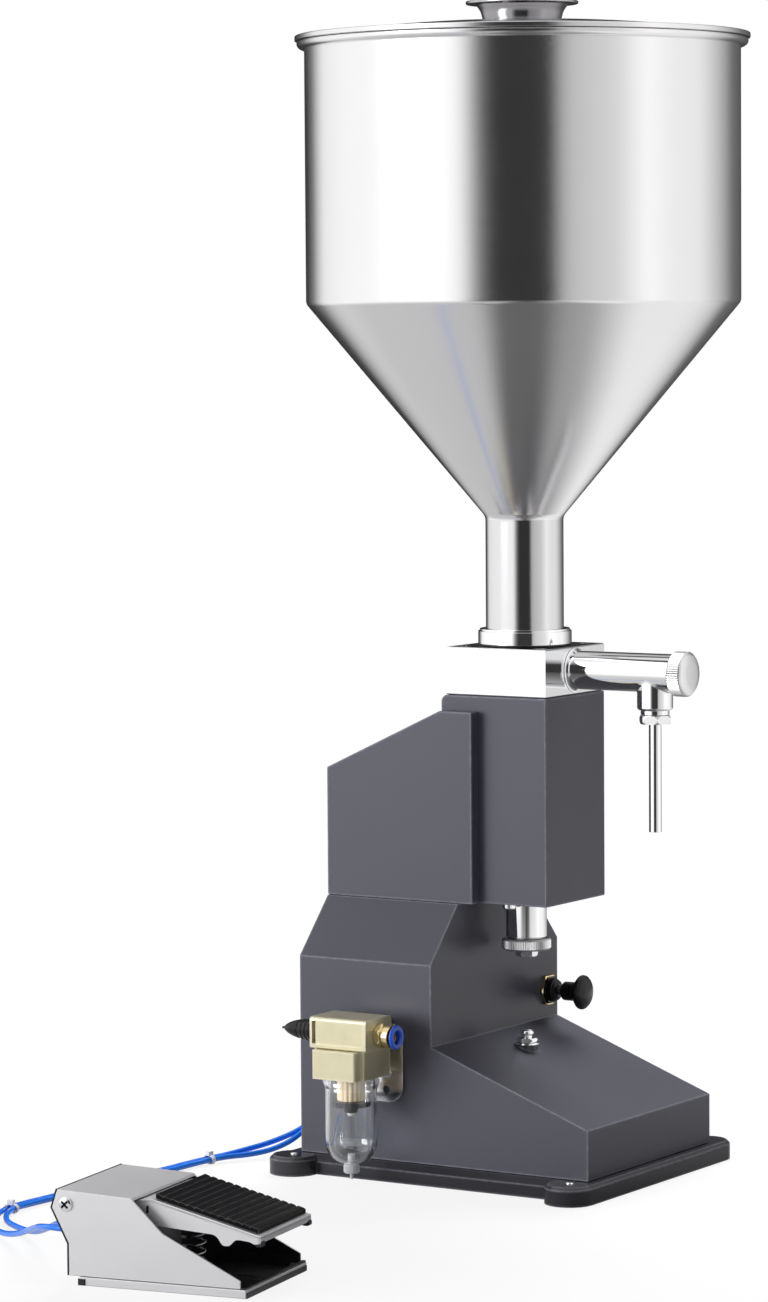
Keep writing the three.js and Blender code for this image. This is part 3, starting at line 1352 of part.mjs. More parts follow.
// Springs: a straight start, the curls and a straight end, as points along the wire
function helix(radius, wireRadius, bottom, top, curls) {
  const [low, high] = [bottom + 2 * wireRadius, top - 2 * wireRadius];
  const points = [[radius, 0, bottom]];
  const steps = curls * curlSteps;
  for (let k = 0; k <= steps; k += 1) {
    const a = (2 * Math.PI * k) / curlSteps;
    points.push([radius * Math.cos(a), radius * Math.sin(a), low + ((high - low) * k) / steps]);
  }
  points.push([radius, 0, top]);
  return points;
}

function leastGap(points, wireRadius) {
  let least = Infinity;
  points.forEach((p, k) => {
    points.slice(k + curlSteps / 2 + 1).forEach((q) => {
      least = Math.min(least, Math.hypot(p[0] - q[0], p[1] - q[1], p[2] - q[2]) - 2 * wireRadius);
    });
  });
  return least;
}

// Pedal tray: a shallow pan with holes in its floor
function pedalTray() {
  const [halfLength, halfWidth] = [trayLength / 2, pedalWidth / 2];
  const [innerLength, innerWidth] = [halfLength - trayWall, halfWidth - trayWall];
  const pocket = extrude(
    "z", rectangle(-innerLength, -innerWidth, innerLength, innerWidth), trayFloor, trayHeight + overrun);
  let body = cut(
    extrude("z", rectangle(-halfLength, -halfWidth, halfLength, halfWidth), 0, trayHeight), pocket);
  for (const y of [-trayHoleY, trayHoleY]) {
    body = cut(body, rod("z", trayHoleRadius, -overrun, trayHeight, smallSteps).translate(trayHoleX, y, 0));
  }
  return piece("pedal_tray", body, pedalSteel);
}

// Pedal hood: a folded sheet of a top and two cheeks, open in front, behind and below
function pedalHood() {
  const low = trayHeight + seatGap;
  const cheek = [
    [hoodWaistX, low], [hoodToeX, low], [hoodToeX, hoodToeHeight], [hoodKneeX, hoodKneeHeight],
    [hoodTopFrontX, hoodTopFrontHeight], [hoodRearX, hoodRearHeight], [hoodBackX, hoodBackHeight],
    [hoodWaistX, hoodWaistHeight],
  ];
  const halfWidth = pedalWidth / 2;
  const inside = [
    [hoodBackX - overrun, low - overrun], [trayLength, low - overrun], [trayLength, hoodTopFrontHeight],
    [hoodTopFrontX, hoodTopFrontHeight - hoodSheet], [hoodRearX, hoodRearHeight - hoodSheet],
    [hoodBackX - overrun, hoodRearHeight - hoodSheet],
  ];
  const innerHalf = halfWidth - hoodSheet;
  const pinHole = rod("y", pivotRadius + seatGap, -pedalWidth, pedalWidth, smallSteps);
  const body = cut(
    extrude("y", outline(cheek), -halfWidth, halfWidth),
    extrude("y", outline(inside), -innerHalf, innerHalf),
    pinHole.translate(pivotX, 0, pivotHeight));
  return piece("pedal_hood", body, pedalSteel);
}

// Pivot pin across the hood, with a screw head at each end
function pedalPin() {
  const face = pedalWidth / 2 + seatGap;
  const end = face + pivotHeadLength;
  const pin = turned("y", [
    [0, -end], [pivotHeadRadius, -end], [pivotHeadRadius, -face], [pivotRadius, -face],
    [pivotRadius, face], [pivotHeadRadius, face], [pivotHeadRadius, end], [0, end],
  ], smallSteps);
  return piece("pedal_pin", pin, plainSteel, [pivotX, 0, pivotHeight]);
}

// Treadle: a folded plate with a flange down each side, ears on the pin and a seat for the spring
function treadleTopAt(x) {
  const share = (x - treadleKneeX) / (treadleFrontX - treadleKneeX);
  return treadleKneeHeight + share * (treadleFrontHeight - treadleKneeHeight);
}

function treadle() {
  const top = [
    [treadleRearX, treadleRearHeight], [treadleHoodX, treadleHoodHeight], [treadleKneeX, treadleKneeHeight],
    [treadleFrontX, treadleFrontHeight],
  ];
  const under = [...top].reverse().map(([x, z]) => [x, z - treadleSheet]);
  const halfWidth = treadleWidth / 2;
  const plate = extrude("y", outline([...under, ...top]), -halfWidth, halfWidth);
  const lip = extrude("y", outline([
    [treadleFrontX - treadleSheet, treadleFrontHeight - treadleLipDrop],
    [treadleFrontX, treadleFrontHeight - treadleLipDrop], [treadleFrontX, treadleFrontHeight],
    [treadleFrontX - treadleSheet, treadleFrontHeight],
  ]), -halfWidth, halfWidth);
  const flangeShape = outline([
    [pivotX, pivotHeight - earRadius], [treadleRearX, flangeRearHeight], [flangeMidX, flangeMidHeight],
    [flangeLobeRearX, flangeLobeRearHeight], [flangeLobeX, flangeLobeHeight],
    [flangeLobeFrontX, flangeLobeFrontHeight], [flangeFrontX, flangeFrontHeight],
    [treadleFrontX, treadleFrontHeight - treadleLipDrop],
    ...[...top].reverse().map(([x, z]) => [x, z - treadleSheet / 2]), [pivotX, pivotHeight + earRadius],
  ]);
  const ear = rod("y", earRadius, -treadleSheet, 0, roundSteps).translate(pivotX, 0, pivotHeight);
  const flange = join(extrude("y", flangeShape, -treadleSheet, 0), ear);
  const seatTop = treadleTopAt(springX + springSeatRadius) - treadleSheet / 2;
  const seat = rod("z", springSeatRadius, springTop() - springSeatHeight, seatTop, smallSteps);
  const pinHole = rod("y", pivotRadius + seatGap, -pedalWidth, pedalWidth, smallSteps);
  const folded = join(
    plate, lip, flange.translate([0, halfWidth, 0]), flange.translate([0, treadleSheet - halfWidth, 0]),
    seat.translate(springX, 0, 0));
  const body = cut(folded, pinHole.translate(pivotX, 0, pivotHeight));
  return piece("treadle", body, pedalSteel);
}

// Rubber pad on the treadle, ribbed across its width
function treadlePad() {
  const span = padFrontX - padRearX;
  const base = (x) => treadleTopAt(x) + seatGap;
  const points = [[padRearX, base(padRearX)], [padFrontX, base(padFrontX)]];
  const pitch = span / padRibs;
  for (let k = padRibs - 1; k >= 0; k -= 1) {
    const x0 = padRearX + k * pitch;
    const ribEnd = x0 + pitch * (1 - padGrooveShare);
    if (k < padRibs - 1) {
      points.push([x0 + pitch, base(x0 + pitch) + padThickness - padGrooveDepth]);
      points.push([ribEnd, base(ribEnd) + padThickness - padGrooveDepth]);
    }
    points.push([ribEnd, base(ribEnd) + padThickness]);
    points.push([x0, base(x0) + padThickness]);
  }
  const shape = outline(points);
  const body = extrude("y", shape, -padWidth / 2, padWidth / 2);
  return piece("treadle_pad", body, blackRubber);
}

// Return spring between the tray's floor and the treadle
function springTop() {
  return treadleTopAt(springX + springRadius + springWire) - treadleSheet - seatGap;
}

function pedalSpring() {
  const points = helix(springRadius, springWire, trayFloor + seatGap, springTop(), springCurls);
  console.log("pedal_spring: least gap to itself " + leastGap(points, springWire).toFixed(2) + " mm");
  return piece("pedal_spring", wire(points, springWire, springSides), blackPlastic, [springX, 0, 0]);
}

// Pedal valve under the hood, its plunger, and a fitting for each hose
function pedalValveParts() {
  const bottom = trayFloor + seatGap;
  const top = bottom + pedalValveHeight;
  const halfWidth = pedalValveWidth / 2;
  const frontX = pedalValveRearX + pedalValveLength;
  const shape = roundedRectangle(pedalValveRearX, -halfWidth, frontX, halfWidth, pedalValveCorner);
  let block = manifoldOf(extrude("z", shape, bottom, top));
  const holeBottom = top - plungerDepth - plungerTravel - seatGap;
  const plungerHole = rod("z", plungerRadius + seatGap, holeBottom, top + overrun, smallSteps);
  block = cut(block, plungerHole.translate(plungerX, 0, 0));
  const port = rod(
    "x", rearFittingNeckRadius + seatGap, pedalValveRearX - overrun, pedalValveRearX + pedalPortDepth,
    smallSteps);
  for (const y of pedalPortYs) {
    block = cut(block, port.clone().translate(0, y, pedalPortHeight));
  }
  const share = (plungerX - treadleRearX) / (treadleHoodX - treadleRearX);
  const underside = treadleRearHeight + share * (treadleHoodHeight - treadleRearHeight) - treadleSheet;
  const crownRise = plungerRadius / 2;
  const crown = domeProfile(plungerRadius, underside - seatGap - crownRise, crownRise, domeSteps);
  const plungerBottom = top - plungerDepth;
  const plunger = turned("z", [[0, plungerBottom], [plungerRadius, plungerBottom], ...crown], smallSteps);
  const fittings = pedalPortYs.map((y, k) => hoseFitting(
    "pedal_fitting_" + "ab"[k], pedalPortDepth - seatGap, [pedalValveRearX, y, pedalPortHeight]));
  return [
    piece("pedal_valve", block, aluminium),
    piece("pedal_plunger", plunger, plainSteel, [plungerX, 0, 0]),
    ...fittings,
  ];
}

// The machine stands in the part's frame. The pedal has its own turned frame on the same table.
const machine = new THREE.Group();
machine.add(
  basePlate(), housing(), ...stopStud(), cylinderBracket(), airValve(), frontBox(), rearCover(), pumpBlock(),
  inletPoppet(), ...pumpParts(), ...airCylinder(), ...stopParts(), ...hopper(), ...lid(), dischargeArm(),
  armEndCap(), ...outletParts(), ...handValve(), filterBracket(), filterHead(), ...filterBowlParts(),
  ...filterPorts(), ...rearFittings());

const pedal = new THREE.Group();
pedal.position.set(pedalX, pedalY, 0);
pedal.rotation.z = THREE.MathUtils.degToRad(pedalTurn);
pedal.add(
  pedalTray(), pedalHood(), pedalPin(), treadle(), treadlePad(), pedalSpring(), ...pedalValveParts());

const hoses = new THREE.Group();
hoses.add(hose("hose_a", hoseRouteA), hose("hose_b", hoseRouteB), ...tiePlaces.map(hoseTie));

const fillingMachine = new THREE.Group();
fillingMachine.add(machine, pedal, hoses);
export default fillingMachine;
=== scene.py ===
# %% [markdown]
# # A bench-top liquid filling machine
# A steel hopper stands on a pump block, and a level arm carries the product to a short nozzle.
# Below are the dark painted box and housing, an air filter on the side wall, and a foot pedal
# on two blue hoses. The engineering model is loaded first. It fixes every size and place, so
# this scene only adds fine surfaces, finishes, light and a camera around it.

# %% Load the engineering model
import json
import math

import bmesh
import bpy
from mathutils import Matrix, Vector


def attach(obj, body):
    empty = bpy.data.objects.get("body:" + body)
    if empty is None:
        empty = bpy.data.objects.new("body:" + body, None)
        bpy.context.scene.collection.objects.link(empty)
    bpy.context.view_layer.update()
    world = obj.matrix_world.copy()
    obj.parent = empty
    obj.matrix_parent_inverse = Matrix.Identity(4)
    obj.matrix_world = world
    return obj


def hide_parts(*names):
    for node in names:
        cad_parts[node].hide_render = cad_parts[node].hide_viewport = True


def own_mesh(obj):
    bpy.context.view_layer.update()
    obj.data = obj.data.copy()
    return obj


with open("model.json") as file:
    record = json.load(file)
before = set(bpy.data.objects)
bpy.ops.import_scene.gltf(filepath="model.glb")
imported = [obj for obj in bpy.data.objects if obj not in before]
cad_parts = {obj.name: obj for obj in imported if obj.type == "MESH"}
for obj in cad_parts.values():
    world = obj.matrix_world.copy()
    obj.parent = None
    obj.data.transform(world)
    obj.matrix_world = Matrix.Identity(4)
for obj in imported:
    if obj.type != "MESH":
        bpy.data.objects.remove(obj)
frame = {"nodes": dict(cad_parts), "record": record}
bpy.context.view_layer.update()
nodes = frame["nodes"]
MM = 0.001

# %% [markdown]
# ## The camera
# A product picture is taken from far away with a long lens, so that upright edges stay nearly
# parallel. The camera stands 32 degrees round from the machine's left side and looks down a
# little, with a slight roll. Its place and lens are given, and its axes are built from the
# three angles.

# %% Place the camera
camera_place = Vector((1.6726, -2.8045, 0.6067))
camera_turn, camera_pitch, camera_roll = (math.radians(a) for a in (32.24, 4.17, -0.40))
level_right = Vector((math.cos(camera_turn), math.sin(camera_turn), 0))
backward = Vector((
    math.sin(camera_turn) * math.cos(camera_pitch),
    -math.cos(camera_turn) * math.cos(camera_pitch),
    math.sin(camera_pitch)))
level_up = backward.cross(level_right)
right = level_right * math.cos(camera_roll) + level_up * math.sin(camera_roll)
up = backward.cross(right)
camera_axes = Matrix((right, up, backward)).transposed().to_4x4()

camera_data = bpy.data.cameras.new("camera")
camera_data.sensor_width = 36
camera_data.lens = 127.755
camera_data.clip_end = 100
camera = bpy.data.objects.new("camera", camera_data)
bpy.context.collection.objects.link(camera)
camera.matrix_world = Matrix.Translation(camera_place) @ camera_axes
bpy.context.scene.camera = camera
bpy.context.scene.view_settings.view_transform = "Standard"
print("camera at", [round(v, 2) for v in camera_place], "lens", camera_data.lens, "mm")

# %% [markdown]
# ## Making a piece
# Every piece goes through one helper. It takes points in millimetres and makes a mesh in metres,
# shaded smooth, with a crease wherever two faces meet at more than 32 degrees. It also says
# which body of the machine carries the piece and which engineering solids it stands for. Where
# a wide face meets a narrow rounded edge, the wide one should keep its own direction, or a
# straight wall would shine like a barrel. The weighted normal modifier sees to that.

# %% A helper that makes a piece from points and faces
materials = {}
sharp_from = 32


def clean_mesh(name, points, faces):
    mesh = bpy.data.meshes.new(name)
    mesh.from_pydata([Vector(p) * MM for p in points], [], faces)
    shape = bmesh.new()
    shape.from_mesh(mesh)
    bmesh.ops.remove_doubles(shape, verts=shape.verts, dist=1e-7)
    bmesh.ops.recalc_face_normals(shape, faces=shape.faces)
    shape.to_mesh(mesh)
    shape.free()
    return mesh


def add_piece(name, points, faces, finish, body="root", stands_for=(), crease=sharp_from,
              slot=None):
    mesh = clean_mesh(name, points, faces)
    mesh.polygons.foreach_set("use_smooth", [True] * len(mesh.polygons))
    mesh.set_sharp_from_angle(angle=math.radians(crease))
    mesh.materials.append(materials[finish])
    piece = bpy.data.objects.new(name, mesh)
    bpy.context.collection.objects.link(piece)
    shading = piece.modifiers.new("wide_faces_lead", "WEIGHTED_NORMAL")
    shading.keep_sharp = True
    shading.weight = 90
    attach(piece, body)
    if stands_for:
        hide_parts(*stands_for)
    print("made", name, "with", len(mesh.polygons), "faces")
    return piece


# %% [markdown]
# ## Rounded corners
# No machined or folded edge is perfectly sharp, and it is the small round on an edge that
# catches the light. This helper replaces each corner of an outline by a short curve. Each point
# may carry its own radius as a third number, and a nought there keeps the corner sharp.

# %% A helper that rounds the corners of an outline
def bent(start, corner, end, t):
    return start * (1 - t) ** 2 + corner * 2 * t * (1 - t) + end * t ** 2


def rounded(outline, radius=0.4, steps=3):
    made = []
    for k, point in enumerate(outline):
        here = Vector(point[:2])
        wanted = point[2] if len(point) > 2 else radius
        if wanted == 0:
            made.append(tuple(here))
            continue
        before = Vector(outline[k - 1][:2]) - here
        after = Vector(outline[(k + 1) % len(outline)][:2]) - here
        reach = min(wanted, before.length * 0.45, after.length * 0.45)
        start, end = here + before.normalized() * reach, here + after.normalized() * reach
        made += [tuple(bent(start, here, end, j / steps)) for j in range(steps + 1)]
    return made


# %% [markdown]
# ## Turned pieces
# A lathe makes most of this machine's bright parts, and a turned piece is an outline spun round
# an axis. The outline is a list of radius and height. It starts and ends on the axis, or closes
# on itself when the piece is a tube. The axis can point along x, y or z.

# %% Helpers for turned pieces
def along_axis(axis, centre, a, b, h):
    swap = {"z": (a, b, h), "x": (h, a, b), "y": (a, h, b)}[axis]
    return tuple(c + s for c, s in zip(centre, swap))


def turned_mesh(outline, axis, centre, sides, shape=None):
    points, faces = [], []
    rows = []
    for r, h in outline:
        if r < 1e-6:
            rows.append([len(points)] * sides)
            points.append(along_axis(axis, centre, 0, 0, h))
            continue
        row = []
        for k in range(sides):
            a = 2 * math.pi * k / sides
            reach = shape(r, h, k) if shape else r
            row.append(len(points))
            points.append(along_axis(axis, centre, reach * math.cos(a), reach * math.sin(a), h))
        rows.append(row)
    pairs = list(zip(rows, rows[1:]))
    if outline[0][0] > 1e-6 and outline[-1][0] > 1e-6:
        pairs.append((rows[-1], rows[0]))
    for low, high in pairs:
        for k in range(sides):
            n = (k + 1) % sides
            corners = [low[k], low[n], high[n], high[k]]
            face = [c for j, c in enumerate(corners) if c not in corners[:j]]
            if len(face) > 2:
                faces.append(face)
    return points, faces


def turned(name, outline, finish, axis="z", centre=(0, 0, 0), sides=96, shape=None, **place):
    return add_piece(name, *turned_mesh(outline, axis, centre, sides, shape), finish, **place)


def joined(*meshes):
    points, faces = [], []
    for more_points, more_faces in meshes:
        faces += [[c + len(points) for c in face] for face in more_faces]
        points += more_points
    return points, faces


# %% [markdown]
# ## Flat-sided pieces
# A folded plate or a block is an outline pushed along an axis. A bevel modifier then rounds
# every edge that is sharper than a set angle, which is quicker than drawing each round by hand.

# %% Helpers for pushed outlines and bevels
def pushed_mesh(outline, axis, low, high, centre=(0, 0, 0)):
    count = len(outline)
    points = [along_axis(axis, centre, a, b, h) for h in (low, high) for a, b in outline]
    sides = [[k, (k + 1) % count, count + (k + 1) % count, count + k] for k in range(count)]
    return points, sides + [list(range(count))[::-1], list(range(count, 2 * count))]


def bevel(piece, width, segments=3):
    edge = piece.modifiers.new("rounded_edges", "BEVEL")
    edge.width = width * MM
    edge.segments = segments
    edge.limit_method = "ANGLE"
    edge.angle_limit = math.radians(sharp_from)
    normal = piece.modifiers.new("even_shading", "WEIGHTED_NORMAL")
    normal.weight = 100


def box_outline(a0, b0, a1, b1):
    return [(a0, b0), (a1, b0), (a1, b1), (a0, b1)]


# %% [markdown]
# ## Hexagons
# A hexagon nut has flat sides and a chamfer that a lathe cut on its two ends, so its outline
# bends down at each corner. The helper keeps whichever is smaller, the hexagon or the cone.

# %% Helper for hexagon nuts
hexagon_sides = 72


def flat_reach(flats, k, sides, turn=0):
    a = (2 * math.pi * k / sides + turn + math.pi / 6) % (math.pi / 3) - math.pi / 6
    return flats / 2 / math.cos(a)


def hexagon(name, flats, low, high, bore, finish, turn=0, **place):
    corner = flats / math.sqrt(3)
    chamfer = min(0.1 * flats, 0.32 * (high - low))

    def hexagon_reach(r, h, k):
        if r <= bore + 1e-6:
            return r
        grown = 0.3 + 0.7 * min(1.0, min(high - h, h - low) / chamfer)
        cone = flats / 2 + (corner - flats / 2) * grown
        return min(flat_reach(flats, k, hexagon_sides, turn), cone, r)

    steps = [chamfer * k / 4 for k in range(5)]
    heights = [low + s for s in steps] + [high - s for s in reversed(steps)]
    outline = [(bore, low), *((corner, h) for h in heights), (bore, high)]
    return turned(name, outline, finish, sides=hexagon_sides, shape=hexagon_reach, crease=18,
                  **place)


# %% [markdown]
# # The finishes
# ## Shader effects
# Brushing, smudges and worn edges with their painted highlights show on more than one finish.
# Each is a node group with named inputs, built once. A group gives back a mask or a height, and
# the material decides what that changes: its colour, its gloss or its bumps. A few short helpers
# add the nodes that come up again and again.

# %% Helpers for nodes
def add_node(tree, kind, values=(), **settings):
    node = tree.nodes.new(kind)
    for key, value in settings.items():
        setattr(node, key, value)
    for key, value in dict(values).items():
        if isinstance(value, bpy.types.NodeSocket):
            tree.links.new(value, node.inputs[key])
        else:
            node.inputs[key].default_value = value
    return node


def effect_group(name, inputs, outputs):
    group = bpy.data.node_groups.new(name, "ShaderNodeTree")
    for label, kind, value in inputs:
        kind = "NodeSocket" + kind
        socket = group.interface.new_socket(label, in_out="INPUT", socket_type=kind)
        socket.default_value = value
    for label in outputs:
        group.interface.new_socket(label, in_out="OUTPUT", socket_type="NodeSocketFloat")
    enter = add_node(group, "NodeGroupInput")
    leave = add_node(group, "NodeGroupOutput")
    return group, enter.outputs, leave.inputs


def use_group(tree, group, values):
    return add_node(tree, "ShaderNodeGroup", values, node_tree=group).outputs


def math_node(tree, operation, first, second=0.0):
    return add_node(tree, "ShaderNodeMath", {0: first, 1: second}, operation=operation).outputs[0]


def vector_node(tree, operation, first, second=(0, 0, 0), out="Vector"):
    values = {0: first, 1: second}
    return add_node(tree, "ShaderNodeVectorMath", values, operation=operation).outputs[out]


def remap(tree, value, low, high, to_low=0.0, to_high=1.0):
    return add_node(tree, "ShaderNodeMapRange", {
        "Value": value, "From Min": low, "From Max": high,
        "To Min": to_low, "To Max": to_high}).outputs["Result"]


def blend(tree, share, first, second, kind="RGBA"):
    values = {"Factor": share, "A": first, "B": second}
    return add_node(tree, "ShaderNodeMix", values, data_type=kind).outputs["Result"]


def noise(tree, place, scale, detail, roughness=0.5):
    return add_node(tree, "ShaderNodeTexNoise", {
        "Vector": place, "Scale": scale, "Detail": detail, "Roughness": roughness}).outputs["Fac"]


def add_ramp(tree, factor, stops):
    ramp = add_node(tree, "ShaderNodeValToRGB", {"Fac": factor})
    for place, light in stops[1:-1]:
        ramp.color_ramp.elements.new(place)
    for element, (place, light) in zip(ramp.color_ramp.elements, stops):
        element.position = place
        element.color = (light, light, light, 1)
    return ramp.outputs["Color"]


# %% [markdown]
# ### Brushed grain
# Brushed steel has hair-fine lines in one direction. Noise does this when it is stretched: the
# object's coordinates are multiplied by a small number along the lines and a large one across.

# %% Grain effect
grain, enter, leave = effect_group(
    "brushed_grain", [("Stretch", "Vector", (1, 1, 1)), ("Scale", "Float", 100)], ["Mask"])
coordinates = add_node(grain, "ShaderNodeTexCoord").outputs
stretched = vector_node(grain, "MULTIPLY", coordinates["Object"], enter["Stretch"])
grain.links.new(noise(grain, stretched, enter["Scale"], 4.0, 0.65), leave["Mask"])
print("effect:", grain.name)

# %% [markdown]
# ### Smudges and cloudiness
# A real surface is never equally glossy. Wide soft noise gives the clouds, and finer noise
# cut off at its top gives scattered specks of dust.

# %% Smudge effect
smudge, enter, leave = effect_group(
    "smudges_and_specks",
    [("Cloud Scale", "Float", 12), ("Speck Scale", "Float", 900)], ["Cloud", "Speck"])
coordinates = add_node(smudge, "ShaderNodeTexCoord").outputs
cloud = noise(smudge, coordinates["Object"], enter["Cloud Scale"], 5.0, 0.55)
speck = noise(smudge, coordinates["Object"], enter["Speck Scale"], 1.0)
smudge.links.new(cloud, leave["Cloud"])
smudge.links.new(remap(smudge, speck, 0.68, 0.78), leave["Speck"])
print("effect:", smudge.name)

# %% [markdown]
# ### Worn and highlit edges
# Paint thins and metal brightens where hands and tools touch an edge. The same lighter line is
# also a painted highlight, standing in for light caught on folds and rounded edges. The bevel
# node gives the normal of a rounder edge than the real one, and where that differs from the true
# normal there is an edge. Noise breaks the line up.

# %% Edge wear and painted highlight effect
edge_wear_and_sheen, enter, leave = effect_group(
    "edge_wear_and_painted_highlight", [("Radius", "Float", 0.0022), ("Break Up", "Float", 220)], ["Mask"])
rounder = add_node(edge_wear_and_sheen, "ShaderNodeBevel", {"Radius": enter["Radius"]}, samples=4).outputs[0]
true_normal = add_node(edge_wear_and_sheen, "ShaderNodeNewGeometry").outputs["Normal"]
closeness = vector_node(edge_wear_and_sheen, "DOT_PRODUCT", rounder, true_normal, "Value")
coordinates = add_node(edge_wear_and_sheen, "ShaderNodeTexCoord").outputs
broken = noise(edge_wear_and_sheen, coordinates["Object"], enter["Break Up"], 3.0)
wear_highlight_mask = math_node(edge_wear_and_sheen, "MULTIPLY", remap(edge_wear_and_sheen, closeness, 0.997, 0.94),
                 remap(edge_wear_and_sheen, broken, 0.38, 0.60, 0.6, 1.0))
edge_wear_and_sheen.links.new(wear_highlight_mask, leave["Mask"])
print("effect:", edge_wear_and_sheen.name)

# %% [markdown]
# ## One recipe for every solid finish
# Each finish is a Principled shader whose colour, roughness and bump come from the three
# effects. The numbers are what differs: how metallic, how glossy, how coarse the grain and how
# strongly the edges show. The values that are the same all over sit on the shader's own sockets.

# %% The finish recipe
dust = (0.6, 0.6, 0.6, 1)


def empty_tree(owner):
    owner.use_nodes = True
    owner.node_tree.nodes.clear()
    return owner.node_tree


def new_finish(slot):
    materials[slot] = bpy.data.materials.new(slot)
    return empty_tree(materials[slot])


def roughen(tree, shader, mask, gloss_range, height, bump):
    gloss = remap(tree, mask, 0.3, 0.7, *gloss_range)
    relief = add_node(tree, "ShaderNodeBump", {
        "Height": height, "Strength": bump, "Distance": 0.001})
    tree.links.new(gloss, shader.inputs["Roughness"])
    tree.links.new(relief.outputs["Normal"], shader.inputs["Normal"])


def add_finish(slot, colour, metal, gloss_range, stretch, scale, bump, cloud=12.0, tint=0.06,
               edge=0.0, edge_colour=None, edge_wide=0.0022, speck=0.0, **sockets):
    tree = new_finish(slot)
    shader = add_node(tree, "ShaderNodeBsdfPrincipled", {"Metallic": metal, **sockets})
    add_node(tree, "ShaderNodeOutputMaterial", {"Surface": shader.outputs[0]})
    lines = use_group(tree, grain, {"Stretch": stretch, "Scale": scale})["Mask"]
    clouds = use_group(tree, smudge, {"Cloud Scale": cloud})
    dark = [c * (1 - tint) for c in colour]
    light = [min(1.0, c * (1 + tint)) for c in colour]
    hue = blend(tree, clouds["Cloud"], (*dark, 1), (*light, 1))
    # The edge mask lightens the colour along edges: partly wear, partly a painted highlight.
    if edge:
        wear_highlight_mask = use_group(tree, edge_wear_and_sheen, {"Radius": edge_wide})["Mask"]
        hue = blend(tree, math_node(tree, "MULTIPLY", wear_highlight_mask, edge), hue, (*edge_colour, 1))
    if speck:
        hue = blend(tree, math_node(tree, "MULTIPLY", clouds["Speck"], speck), hue, dust)
    tree.links.new(hue, shader.inputs["Base Color"])
    mean = math_node(tree, "MULTIPLY", math_node(tree, "ADD", lines, clouds["Cloud"]), 0.5)
    roughen(tree, shader, mean, gloss_range, lines, bump)


# %% [markdown]
# ## The metals
# The hopper and lid are satin stainless steel, rubbed round and round, so their grain is long
# along x and y and very fine along z. The block, collar and arm are polished until they mirror
# the studio. The pedal is plated sheet, the filter's head a pale gold paint with metal in it.

# %% Metal finishes
around = (1.0, 1.0, 40.0)
along_x = (8, 1, 1)
along_y = (6, 1, 6)
along_z = (40, 40, 1)
even = (1, 1, 1)
machined = (1, 1, 6)
add_finish("satin_steel", (0.81, 0.80, 0.81), 1.0, (0.12, 0.19), around, 60, 0.05, tint=0.03)
add_finish("polished_steel", (0.90, 0.90, 0.91), 1.0, (0.03, 0.09), around, 90, 0.006,
           cloud=30.0, tint=0.02)
add_finish("drawn_steel", (0.70, 0.69, 0.70), 1.0, (0.08, 0.13), along_z, 60, 0.03,
           cloud=20.0, tint=0.03)
# An edge colour on a metal finish is partly wear and partly a painted highlight.
add_finish("turned_steel", (0.80, 0.795, 0.80), 1.0, (0.24, 0.36), along_y, 300, 0.05,
           cloud=60.0, tint=0.05, edge=0.5, edge_colour=(0.92, 0.92, 0.92))
# The lid cup's steel gets a dark colour: painted shade standing in for the dark it reflects.
add_finish("spun_steel", (0.36, 0.355, 0.365), 1.0, (0.08, 0.16), around, 90, 0.02,
           cloud=40.0, tint=0.05, edge=0.7, edge_colour=(0.85, 0.85, 0.85))
add_finish("plain_steel", (0.62, 0.62, 0.63), 1.0, (0.22, 0.36), machined, 300, 0.03,
           cloud=60.0, tint=0.08)
add_finish("blued_steel", (0.62, 0.62, 0.64), 1.0, (0.12, 0.20), machined, 300, 0.02,
           cloud=60.0, tint=0.08)
add_finish("pedal_sheet", (0.78, 0.77, 0.79), 0.22, (0.30, 0.42), even, 500, 0.02,
           cloud=25.0, tint=0.03, edge=0.5, edge_colour=(0.86, 0.86, 0.87))
add_finish("aluminium", (0.62, 0.63, 0.64), 1.0, (0.30, 0.42), along_x, 300, 0.03, cloud=40.0)
add_finish("brass", (0.90, 0.73, 0.42), 1.0, (0.12, 0.22), (1, 1, 12), 300, 0.03,
           cloud=80.0, tint=0.10)
add_finish("champagne", (0.72, 0.665, 0.45), 0.4, (0.26, 0.36), even, 700, 0.03,
           cloud=60.0, tint=0.08, edge=0.8, edge_colour=(0.92, 0.88, 0.68))
print("metals:", ", ".join(materials))

# %% [markdown]
# ### The dark inside of the pedal
# The pedal's sheets are bright outside and black inside. A mask finds the inner faces: those
# that look back towards the pedal's middle line, and those that look down. It compares the
# surface's normal with the direction across the pedal.

# %% Blacken the inside of the pedal
pedal_origin, pedal_turn = Vector((29.8, -430.6, 0)), math.radians(9.3)
pedal_across = Vector((-math.sin(pedal_turn), math.cos(pedal_turn), 0))
inside, enter, leave = effect_group(
    "inner_faces", [("Across", "Vector", (0, 1, 0)), ("Middle", "Float", 0.0)], ["Mask"])
coordinates = add_node(inside, "ShaderNodeTexCoord").outputs
offset, facing = (vector_node(inside, "DOT_PRODUCT", coordinates[label], enter["Across"], "Value")
                  for label in ("Object", "Normal"))
side = math_node(inside, "SIGN", math_node(inside, "SUBTRACT", offset, enter["Middle"]))
inward = math_node(inside, "LESS_THAN", math_node(inside, "MULTIPLY", facing, side), -0.6)
normal_parts = add_node(inside, "ShaderNodeSeparateXYZ", {0: coordinates["Normal"]}).outputs
downward = math_node(inside, "LESS_THAN", normal_parts["Z"], -0.6)
inside.links.new(math_node(inside, "MAXIMUM", inward, downward), leave["Mask"])

